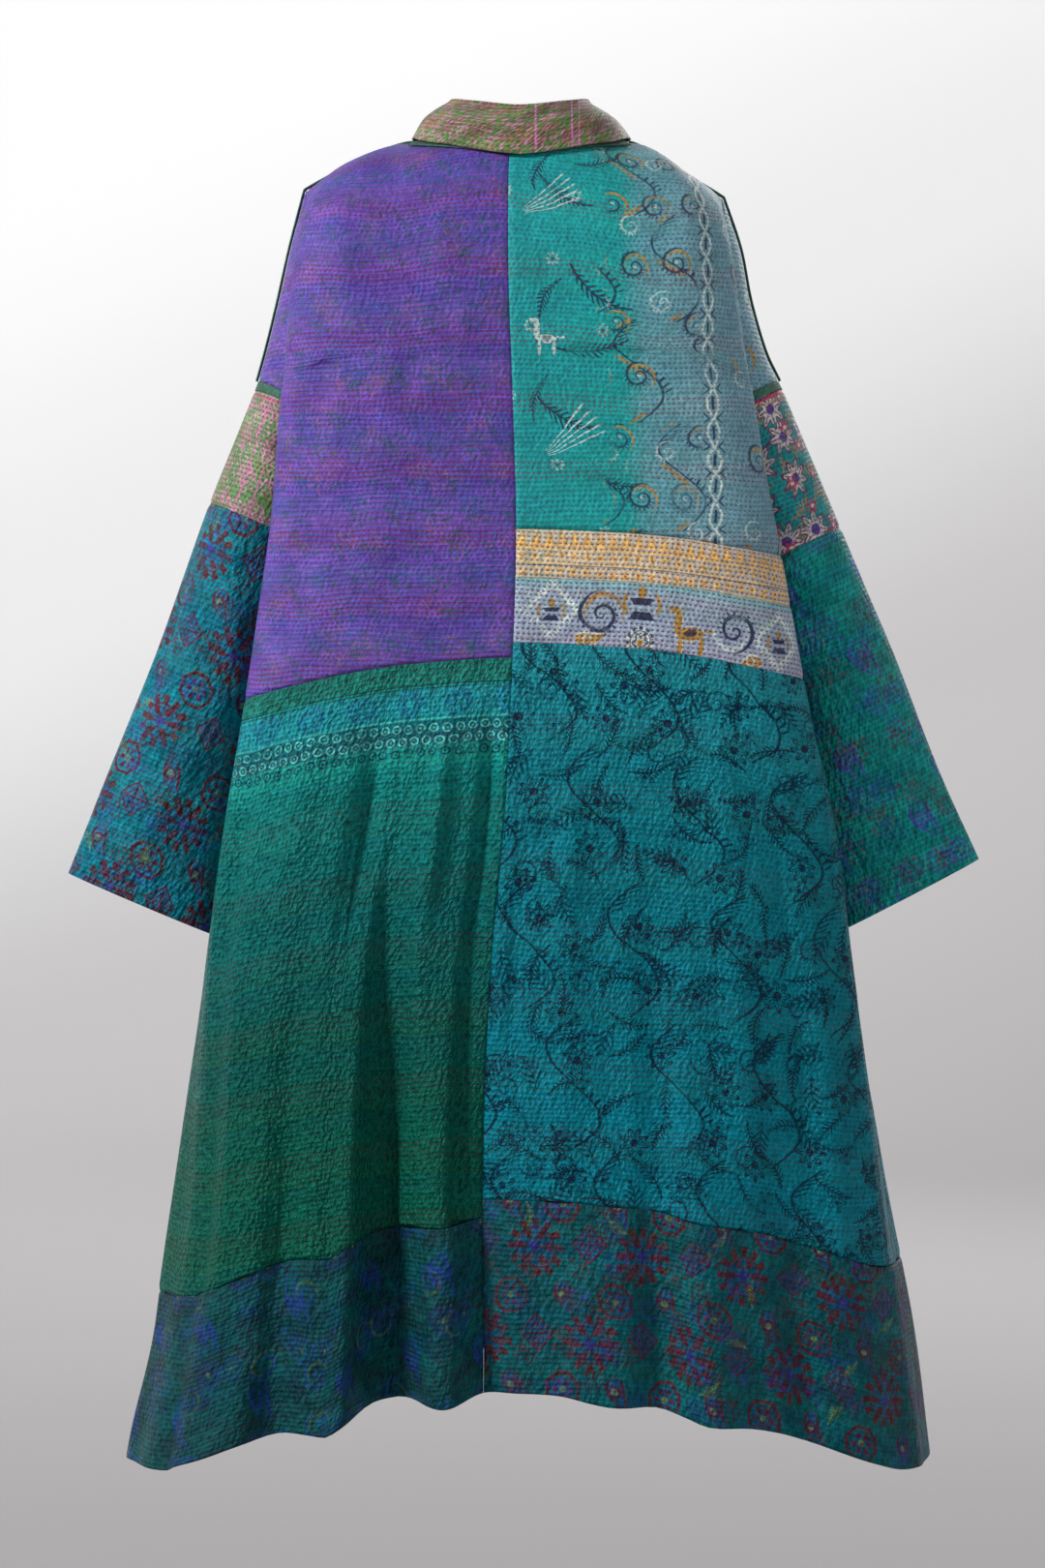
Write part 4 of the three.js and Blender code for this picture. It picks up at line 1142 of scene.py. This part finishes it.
def cells(size, *shape, **more):
    return layer("in_cells", size, *shape, **more)


def scattered(spacing, *shape, **more):
    return layer("scattered", (spacing,), *shape, **more)


def at(place, *shape, **more):
    return layer("at", place, *shape, **more)


def window(value, low, high, soft=4.0):
    """1 between low and high, with soft ends. An end given as None is left open."""
    mask = 1.0
    if low is not None:
        mask = mask * step(value, low - soft, low + soft)
    if high is not None:
        mask = mask * step(value, high + soft, high - soft)
    return mask


def print_layer(tint, place, silk, printed, how, size, shape, scale, start, across, down, skip, inks):
    """The colour of the cloth with one layer printed on it, where the cloth isn't too faded."""
    cover = step(silk["Fade"], 0.15, 0.5)
    if how == "at":
        local = turn(printed, (size[0], size[1], 0.0), math.radians(size[2]))
    else:
        moved = vector("ADD", printed, (*start, 0.0)) if start else printed
        spots = group(how, moved, *[float(value) for value in size])
        local = spots["Local"]
        if skip:
            cover = cover * step(spots["Hash"], skip - 0.01, skip + 0.01)
    for value, zone in zip(parts(place), (across, down)):
        if zone:
            cover = cover * window(value, *zone)
    masks = group(shape, local, float(scale))
    for part, (ink, strength) in inks.items():
        tint = mix(masks[part.capitalize()] * cover * strength, tint, ink)
    return tint


def draw_line(tint, place, axis, middle, half, ink, strength, soft=0.3):
    """The colour of the cloth with a stripe on it. It can also run down the coat itself."""
    if axis == "across the coat":
        spot = add_node("TexCoord", tree=place.socket.id_data).beside("Object")
        place = vector("MULTIPLY", spot, (1000.0, 1000.0, 1000.0))
    value = parts(place)[1 if axis == "y" else 0]
    return mix(band(value, middle, half, soft) * strength, tint, ink)


def fabric(name, ground, prints=(), bands=(), lines=(), rows=None, roughness=0.55, sheen=0.06,
           crinkle=3.5, relief=1.4, glow=(1, 1, 1, 1), hollows=0.9):
    """ground(x, y, silk) gives a colour. Prints and lines are drawn on it, and rows are its stitches."""
    material = bpy.data.materials.new(name)
    material.use_nodes = True
    tree = material.node_tree
    shader = tree.nodes["Principled BSDF"]
    place = vector("MULTIPLY", add_node("UVMap", tree=tree, uv_map="cloth"), (1000.0, -1000.0, 0.0))
    silk = group("worn_silk", place, float(crinkle))
    tint = ground(*parts(place), silk)
    for stripe in bands:
        tint = draw_line(tint, place, *stripe, soft=0.5)
    if prints:
        sway = noise(place, 0.02).beside("Color")
        printed = vector("ADD", place, vector("MULTIPLY", vector("SUBTRACT", sway, (0.5, 0.5, 0.5)),
                                              (9.0, 9.0, 0.0)))
    for one in prints:
        tint = print_layer(tint, place, silk, printed, *one)
    for stripe in lines:
        tint = draw_line(tint, place, *stripe)
    grain = (silk["Ripple"] - 0.5) * hollows + 1.0
    cloud = (silk["Fade"] - 0.5) * 0.7 + 1.0
    tint = mix(1.0, tint, join(*[grain * cloud] * 3), "MULTIPLY")
    height = silk["Ripple"] * relief + silk["Weave"] * 0.03 + silk["Crumple"] * (1.5 * relief)
    if rows:
        sewn = group("kantha_rows", place, rows["pitch"], rows["length"], rows["cover"])
        thread = ramp(fract((sewn["Row"] + 0.5) / rows["period"]), rows["threads"], sharp=True)
        tint = mix(step(sewn["Height"], 0.8, 0.2) * rows["shade"], tint, (0.3, 0.3, 0.34, 1), "MULTIPLY")
        tint = mix(sewn["Thread"] * rows["strength"], tint, thread)
        height = height + sewn["Height"] * rows["pucker"]
    bump = add_node("Bump", tree=tree)
    inputs = bump.socket.node.inputs
    inputs["Strength"].default_value = 1.0
    inputs["Distance"].default_value = 0.001
    plug(inputs["Height"], height)
    plug(shader.inputs["Base Color"], tint)
    plug(shader.inputs["Normal"], bump)
    plug(shader.inputs["Roughness"], silk["Slub"] * 0.2 + (roughness - 0.1))
    shader.inputs["Sheen Weight"].default_value = sheen
    shader.inputs["Sheen Roughness"].default_value = 0.4
    shader.inputs["Specular IOR Level"].default_value = 0.28
    shader.inputs["Specular Tint"].default_value = glow
    return material


def even(tone_a, tone_b, slubs=0.2):
    """A ground of two close tones, mixed by the cloth's fading and slubs."""
    def ground(x, y, silk):
        share = silk["Fade"] * (1.0 - slubs) + silk["Slub"] * slubs
        return mix(step(share, 0.35, 0.65), tone_a, tone_b)
    return ground


def shaded(axis, start, end, stops, streaks=0.03):
    """A ground that changes colour across or down the cloth, with woven streaks."""
    def ground(x, y, silk):
        value = x if axis == "x" else y
        share = (value - float(start)) / float(end - start)
        share = share + (silk["Slub"] - 0.5) * (streaks * 2)
        share = share + (silk["Fade"] - 0.5) * (streaks * 2)
        return ramp(share, stops)
    return ground


# %% [markdown]
# Each fabric lists its printed layers: how a motif is set out, its repeat and size in mm, its inks, and
# the part of the cloth that it covers. The thread colours change every few rows, and the same order
# comes back about every 60 mm, because all the panels were stitched in one way before the coat was cut.

# %% The silks of the back
NAVY, OLIVE, OCHRE, MILK = "141f45", "7f8a30", "b98a26", "d8e6e0"
MATERIALS = {}


def stitches(first, second, third, fourth, strength=0.85, pucker=0.9, shade=0.5):
    threads = [(0.0, first), (0.28, second), (0.5, third), (0.79, fourth)]
    return {"pitch": 4.3, "length": 4.7, "cover": 0.52, "period": 14, "threads": threads,
            "strength": strength, "pucker": pucker, "shade": shade}


def make(slot, *args, **kwargs):
    MATERIALS[slot] = fabric(slot, *args, **kwargs)


make("violet_kantha", even("513aa0", "7350ae", 0.6), prints=[
    cells((34, 29, 0.5), "speckles", 17, line=("1c5560", 0.75), skip=0.1),
    scattered(37, "speckles", 16, line=("3a55b4", 0.6), start=(13, 40)),
    scattered(51, "speckles", 15, line=("86587c", 0.7), start=(33, 14), skip=0.3),
    cells((76, 72, 0.5), "lozenge", 13, line=("8a5a60", 0.4), start=(9, 20)),
    scattered(50, "willow", 9, line=("234c50", 0.8), start=(20, 11), skip=0.35),
], rows=stitches("8c1038", "4430a0", "1f628e", "7a4a70", strength=0.95, pucker=0.7), relief=0.9)

turquoise = shaded("x", 0, 250,
                   [(0, "0d989a"), (0.38, "10a4a2"), (0.5, "66a4b0"), (0.7, "78a4b2"), (1, "729aac")])
# Sprays that lean into the turquoise side: where they lie on the cloth in mm, their turn and their reach.
SPRAYS = [((44, -96, 62), 30), ((20, -116, -20), 22), ((74, -158, 100), 34), ((30, -206, -30), 24),
          ((76, -212, 58), 34), ((48, -300, 60), 30), ((24, -326, -16), 22), ((84, -340, 118), 26),
          ((88, -40, 70), 24)]
make("turquoise_kantha", turquoise, prints=[
    *[at(place, "spray", reach, line=(NAVY, 0.9)) for place, reach in SPRAYS],
    cells((64, 61, 0.35), "eight_petals", 7, line=(MILK, 0.6), heart=(NAVY, 0.5), across=(None, 96, 10),
          start=(18, 27), skip=0.35),
    cells((74, 96, 0.5), "vine", 48, line=(NAVY, 0.85), fill=(OCHRE, 0.85), across=(78, 168, 3)),
    cells((37, 54, 0.5), "scroll", 14, line=(NAVY, 0.85), fill=(OCHRE, 0.9), heart=(MILK, 0.6),
          across=(88, 166, 6), skip=0.2),
    cells((52, 70, 0.5), "scroll", 11, line=(MILK, 0.6), across=(86, 240, 6), start=(21, 33), skip=0.3),
    cells((58, 88, 0.5), "scroll", 15, line=(NAVY, 0.8), fill=(OCHRE, 0.9), across=(204, None, 4),
          start=(6, 20)),
    cells((1000, 25, 0), "chain", 12.5, line=(MILK, 0.85), fill=(NAVY, 0.9), across=(160, 198, 2),
          down=(None, 40, 3), start=(322, 0)),
    at((30, -171, 0), "foal", 19, fill=(MILK, 0.6), line=(NAVY, 0.6), heart=(NAVY, 0.5)),
    at((6, -276, 125), "brush", 66, line=(MILK, 0.75), heart=(NAVY, 0.8)),
    at((20, -62, 125), "brush", 66, line=(MILK, 0.75), heart=(NAVY, 0.8)),
], rows=stitches("7a1c40", "2a8488", "24608a", "2c8484", strength=0.8, pucker=0.7, shade=0.3), relief=0.9)

make("gold_zari", shaded("x", 0, 250, [(0, "cfc8b0"), (0.3, "e0cdb4"), (1, "c8bcb2")], 0.1), prints=[
    cells((11.4, 15, 0), "temple", 7.4, fill=("ffc873", 0.95), line=("a8743a", 0.5),
          down=(0.5, 15.5, 0.5)),
    cells((11.4, 11, 0), "eight_petals", 5.4, fill=("fcc67a", 0.95), heart=("9a6a44", 0.7),
          down=(17.5, 28.5, 0.6), start=(0, 4.5)),
    cells((11.4, 11, 0), "eight_petals", 5.4, fill=("fcc67a", 0.95), heart=("9a6a44", 0.7),
          down=(32, 43, 0.6), start=(0, 1)),
], lines=[("y", 16.4, 0.8, "ffc570", 0.95), ("y", 29.6, 0.7, "ffc570", 0.9),
          ("y", 31.2, 0.5, "2a5070", 0.7), ("y", 43.9, 0.8, "ffc570", 0.95),
          ("y", 46.4, 0.7, "ffc570", 0.9)],
     rows=stitches("4a2f66", "1f6276", "33447a", "5a2a50", strength=0.7), roughness=0.42, sheen=0.0,
     glow=(1, 0.85, 0.6, 1))

make("figured_band", shaded("y", 0, 60, [(0, "86bcc4"), (0.22, "a6b6c8"), (1, "a8b2c8")]), prints=[
    at((32, 28, 0), "comb_lozenge", 29, line=(MILK, 0.95)),
    at((238, 36, 0), "comb_lozenge", 29, line=(MILK, 0.95)),
    at((32, 29, 0), "lamp", 13, line=(NAVY, 0.95), fill=(OCHRE, 0.95)),
    at((238, 37, 0), "lamp", 13, line=(NAVY, 0.95), fill=(OCHRE, 0.95)),
    at((112, 19, 0), "lamp", 18, line=(NAVY, 0.95), fill=(OCHRE, 0.95)),
    at((112, 51, 0), "wheel", 14, fill=(MILK, 0.8), line=(NAVY, 0.9), heart=(OCHRE, 0.95)),
    at((76, 29, 40), "scroll", 21, line=(NAVY, 0.95), fill=(OCHRE, 0.9)),
    at((194, 34, -150), "scroll", 21, line=(NAVY, 0.95), fill=(MILK, 0.9)),
    at((154, 38, 0), "foal", 24, fill=(OCHRE, 0.95), heart=(NAVY, 0.85), line=(MILK, 0.5)),
    at((64, 52, 80), "mango", 14, fill=(OCHRE, 0.9), line=(MILK, 0.85)),
    at((212, 58, -80), "mango", 14, fill=(OCHRE, 0.9), line=(MILK, 0.85)),
], rows=stitches("6a1f4e", "3a5f66", "33287a", "752448"))

meadow = shaded("y", 0, 420,
                [(0, "147468"), (0.045, "157e72"), (0.06, "1d8c98"), (0.115, "1d9299"), (0.13, "1c9e98"),
                 (0.19, "109088"), (0.26, "087570"), (0.5, "025f5c"), (0.8, "015046"), (1, "015240")],
                0.012)
make("green_kantha", meadow, prints=[
    scattered(15, "willow", 9, line=("06403a", 0.6), down=(None, 19, 1)),
    cells((44, 26, 0.5), "wheel", 13, line=("1a3f8a", 0.6), down=(24, 50, 1), start=(0, 3)),
    cells((11, 11, 0.5), "ring", 5.2, line=("5cc4bc", 0.85), heart=("5cc4bc", 0.5), down=(51.5, 73, 0.5),
          start=(0, 3.5)),
    cells((11, 11, 0.5), "ring", 5.2, line=("0b2a50", 0.85), heart=("0b2a50", 0.8), down=(73.5, 84, 0.5),
          start=(0, 3.5)),
], bands=[("y", 62.2, 10.6, "0a2b52", 0.7)],
     lines=[("y", 20.0, 0.6, "063038", 0.85), ("y", 22.6, 0.4, "063038", 0.7),
            ("y", 50.0, 0.6, "5cc4bc", 0.5)],
     rows=stitches("6c2c38", "4c7440", "1a4676", "148078", strength=0.42), crinkle=3.4, relief=4.0,
     sheen=0.0, glow=(0.25, 0.9, 0.8, 1), roughness=0.42, hollows=1.6)

garden = shaded("y", 0, 430, [(0, "1e8e9c"), (0.35, "087886"), (0.7, "027484"), (1, "027688")], 0.05)
make("floral_teal", garden, prints=[
    cells((92, 118, 0.5), "vine", 59, line=("041a34", 0.9), start=(14, 30)),
    scattered(58, "eight_petals", 16, line=("041a34", 0.9), heart=("0a1238", 0.95)),
    scattered(39, "spray", 23, line=("041a34", 0.9), start=(51, 9)),
    scattered(47, "willow", 19, line=("041a34", 0.8), start=(7, 63), skip=0.2),
    scattered(43, "five_petals", 9, line=("041a34", 0.9), heart=("0a1238", 0.9), start=(23, 31),
              skip=0.3),
    scattered(50, "scroll", 13, line=("041a34", 0.75), start=(34, 77), skip=0.3),
], rows=stitches("601c38", "45703c", "1a3466", "0f7a88", strength=0.4), crinkle=3.6, relief=3.0,
     sheen=0.0, glow=(0.2, 0.85, 0.95, 1), roughness=0.38, hollows=0.9)

# %% The silks of the hem, sleeves and collar
def dusk(violet, blue, plum):
    """Mangoes, small wheels and crescents in violet and blue, with patches of plum specks."""
    tile = (92, 78, 0.5)
    return [cells(tile, "mango", 22, fill=(blue, 0.18), line=(violet, 0.8), heart=(violet, 0.5)),
            cells(tile, "medallion", 14, line=(violet, 0.5), heart=(OLIVE, 0.3), start=(46, 39)),
            scattered(38, "speckles", 17, line=(plum, 0.7), start=(30, 14), skip=0.2),
            cells(tile, "octagon", 11, line=(blue, 0.7), heart=(OLIVE, 0.3), start=(23, 39)),
            scattered(41, "speckles", 15, line=(blue, 0.7), start=(8, 40), skip=0.4),
            scattered(58, "scroll", 14, line=(violet, 0.5), fill=(OLIVE, 0.2), start=(11, 52), skip=0.35)]


def reef(maroon, violet):
    """Medallions, lozenges, mangoes and octagons in maroon outlines with violet inside."""
    tile = (96, 80, 0.5)
    return [cells(tile, "medallion", 25, fill=(violet, 0.25), line=(maroon, 0.95), heart=(violet, 0.8)),
            cells(tile, "lozenge", 17, fill=(violet, 0.35), line=(maroon, 0.95), start=(48, 6)),
            cells(tile, "mango", 17, fill=(violet, 0.35), line=(maroon, 0.95), heart=(OLIVE, 0.6),
                  start=(24, 40)),
            cells(tile, "octagon", 17, fill=(violet, 0.2), line=(maroon, 0.95), heart=(OLIVE, 0.6),
                  start=(72, 38)),
            scattered(33, "speckles", 14, line=(maroon, 0.8), start=(3, 21), skip=0.25),
            scattered(40, "speckles", 14, line=(violet, 0.75), start=(19, 8), skip=0.3),
            scattered(44, "fern", 12, line=(OLIVE, 0.5), start=(33, 11), skip=0.6)]


quilted = dict(crinkle=4.5, sheen=0.0, roughness=0.5, hollows=1.4)
make("hem_deep_teal", even("013438", "024c4c"), prints=dusk("1c2c84", "12407c", "281c38"), relief=3.6,
     rows=stitches("4c1c34", "345c40", "1c3c84", "0e605e", strength=0.4), glow=(0.3, 0.7, 0.9, 1),
     **quilted)
make("sleeve_deep_teal", even("0c8886", "0e9c96"), prints=dusk("4c46b0", "3450ac", "6a2446"), relief=3.0,
     rows=stitches("6a1c3c", "3a6c50", "28489a", "14706c", strength=0.5), glow=(0.3, 0.7, 0.9, 1),
     **quilted)
make("hem_teal", even("004850", "005c62"), prints=reef("541020", "2c308c"), relief=3.2,
     rows=stitches("501c38", "4c6030", "2c388c", "0e7274", strength=0.4), glow=(0.3, 0.8, 0.85, 1),
     **quilted)
make("sleeve_teal", even("046c80", "067e90"), prints=reef("5a1226", "3a3c9c"), relief=3.0,
     rows=stitches("7a2040", "6a7030", "38348c", "127a7c", strength=0.5), glow=(0.3, 0.8, 0.85, 1),
     **quilted)

make("light_green_band", even("628a54", "789a68"), prints=[
    scattered(15, "speckles", 10, line=("2f8f45", 0.85)),
    scattered(17, "speckles", 12, line=("d98fb8", 0.9), start=(9, 5)),
    cells((36, 30, 0.5), "lozenge", 13, line=("d077a6", 0.85), start=(12, 31)),
    scattered(23, "speckles", 10, line=("8a5a2a", 0.7), start=(3, 17), skip=0.4),
], lines=[("y", 4.0, 1.2, "c24a80", 0.8), ("x", 60.0, 1.0, "d070a4", 0.9),
          ("x", 75.0, 0.7, "d070a4", 0.8)],
     rows=stitches("6a1a30", "3f5c2f", "7c2a50", "4c6a34", strength=0.7, shade=0.35))
make("embroidered_band", even("0c8c92", "17a0a2"), prints=[
    scattered(28, "willow", 15, line=("b8895a", 0.95), start=(24, 17), skip=0.1),
    scattered(38, "eight_petals", 21, fill=("e0d4d2", 0.9), line=("6a2a62", 0.9), heart=("4a2f90", 0.95)),
    scattered(26, "five_petals", 9, fill=("c23a66", 0.9), heart=("ece0d0", 0.9), start=(8, 33),
              skip=0.35),
], lines=[("y", 3.0, 1.6, "c2305c", 0.9), ("y", 8.0, 1.0, "b8895a", 0.7)],
     rows=stitches("5e1a3c", "3c6a60", "34307c", "1c7a78", strength=0.7, shade=0.3))
make("olive_print", even("5c7440", "7b8c52", 0.1), prints=[
    scattered(17, "speckles", 12, line=("2f8a3a", 0.85), start=(9, 21)),
    scattered(19, "speckles", 15, line=("d683b2", 0.85), start=(14, 5)),
    cells((30, 26, 0.5), "medallion", 10, line=("8a1f48", 0.6), heart=("5a1434", 0.8)),
    scattered(33, "speckles", 16, line=("b07850", 0.7), start=(4, 11), skip=0.4),
], lines=[("across the coat", 14.0, 0.9, "dc86bc", 0.9), ("across the coat", 46.5, 0.9, "dc86bc", 0.9),
          ("across the coat", 53.0, 0.6, "dc86bc", 0.8)],
     rows=stitches("5c1434", "334a28", "6a1c48", "47562a", strength=0.6, shade=0.35), relief=1.8,
     crinkle=4.0)
make("bottle_green_tape", even("2f5648", "42705e"), roughness=0.7, sheen=0.1)

SLOTS = {part["node"]: part["material_slot"] for part in frame["record"]["subparts"]}
for name, piece in cloth.items():
    piece.data.materials.append(MATERIALS[SLOTS[name]])
print(f"{len(MATERIALS)} fabrics on {len(cloth)} pieces")

# %% [markdown]
# The coat hangs in the air over a seamless pale bowl, so that no edge of the studio shows behind it.
# The bowl is wide, because it may not come between the coat and a camera on any side.

# %% The studio
bowl = bmesh.new()
profile = [(0, -1.42), (7.5, -1.42), (8.6, -1.3), (9.6, -0.9), (10.3, -0.2), (10.7, 0.9), (10.9, 3),
           (11, 8)]
verts = [bowl.verts.new((x, 0, z)) for x, z in profile]
edges = [bowl.edges.new(pair) for pair in zip(verts, verts[1:])]
bmesh.ops.spin(bowl, geom=verts + edges, cent=(0, 0, 0), axis=(0, 0, 1), angle=2 * math.pi, steps=64,
               use_merge=True)
bmesh.ops.remove_doubles(bowl, verts=bowl.verts, dist=1e-4)
bmesh.ops.recalc_face_normals(bowl, faces=bowl.faces)
bmesh.ops.reverse_faces(bowl, faces=bowl.faces)
for face in bowl.faces:
    face.smooth = True
studio = bpy.data.meshes.new("studio")
bowl.to_mesh(studio)
bowl.free()
backdrop = bpy.data.objects.new("backdrop", studio)
bpy.context.scene.collection.objects.link(backdrop)

# %% [markdown]
# The paper is brightest at the top left, as in the photograph. Its tone comes from the slope at which
# the camera sees a spot, so it is smooth over the bend between the floor and the wall.

# %% The studio's paper
paper = bpy.data.materials.new("paper")
paper.use_nodes = True
shader = paper.node_tree.nodes["Principled BSDF"]
spot = add_node("TexCoord", tree=paper.node_tree).beside("Object")
x, y = parts(spot)
away = vector("LENGTH", vector("MULTIPLY", spot, (1, 1, 0))).beside("Value") + CAMERA_AWAY
back_wall = highest(y / 10.0, 0.0)
slope = (x.beside("Z") - CAMERA_HEIGHT) / away - x * back_wall / away * 0.42
pale = ramp(slope * 2.7 + 0.5, [(0, (0.3, 0.286, 0.29, 1)), (0.45, (0.4, 0.39, 0.395, 1)),
                                (0.75, (0.6, 0.6, 0.6, 1)), (1, (0.7, 0.7, 0.7, 1))])
lit = lowest(back_wall, 1.0) * 0.7 + 0.3
plug(shader.inputs["Base Color"], pale)
plug(shader.inputs["Emission Color"], mix(1.0, pale, join(lit, lit, lit), "MULTIPLY"))
shader.inputs["Emission Strength"].default_value = 0.7
shader.inputs["Roughness"].default_value = 0.9
studio.materials.append(paper)

# %% The lights
world = bpy.data.worlds.new("soft_room")
bpy.context.scene.world = world
world.use_nodes = True
world.node_tree.nodes["Background"].inputs["Color"].default_value = (0.95, 0.97, 1, 1)
world.node_tree.nodes["Background"].inputs["Strength"].default_value = 0.18
bpy.context.scene.view_settings.view_transform = "Standard"


def softbox(name, place, target, size, power):
    lamp = bpy.data.objects.new(name, bpy.data.lights.new(name, "AREA"))
    lamp.data.shape = "RECTANGLE"
    lamp.data.size, lamp.data.size_y = size
    lamp.data.energy = power
    way = np.array(target) - np.array(place)
    across = math.hypot(way[0], way[1])
    lamp.rotation_euler = (math.atan2(across, -way[2]), 0, math.atan2(way[1], way[0]) - math.pi / 2)
    lamp.location = place
    bpy.context.scene.collection.objects.link(lamp)


softbox("key", (-3.2, -1.7, 1.4), (0, -0.1, -0.5), (0.6, 0.6), 155)
softbox("fill", (3.2, -3.0, 0.2), (0, -0.1, -0.7), (2.2, 2.2), 30)
softbox("front_key", (1.4, 3.8, 1.5), (0, 0.1, -0.5), (1.8, 1.8), 60)
softbox("wall_wash", (0, 3.0, 5.5), (0, 10, 1.0), (6, 3), 240)
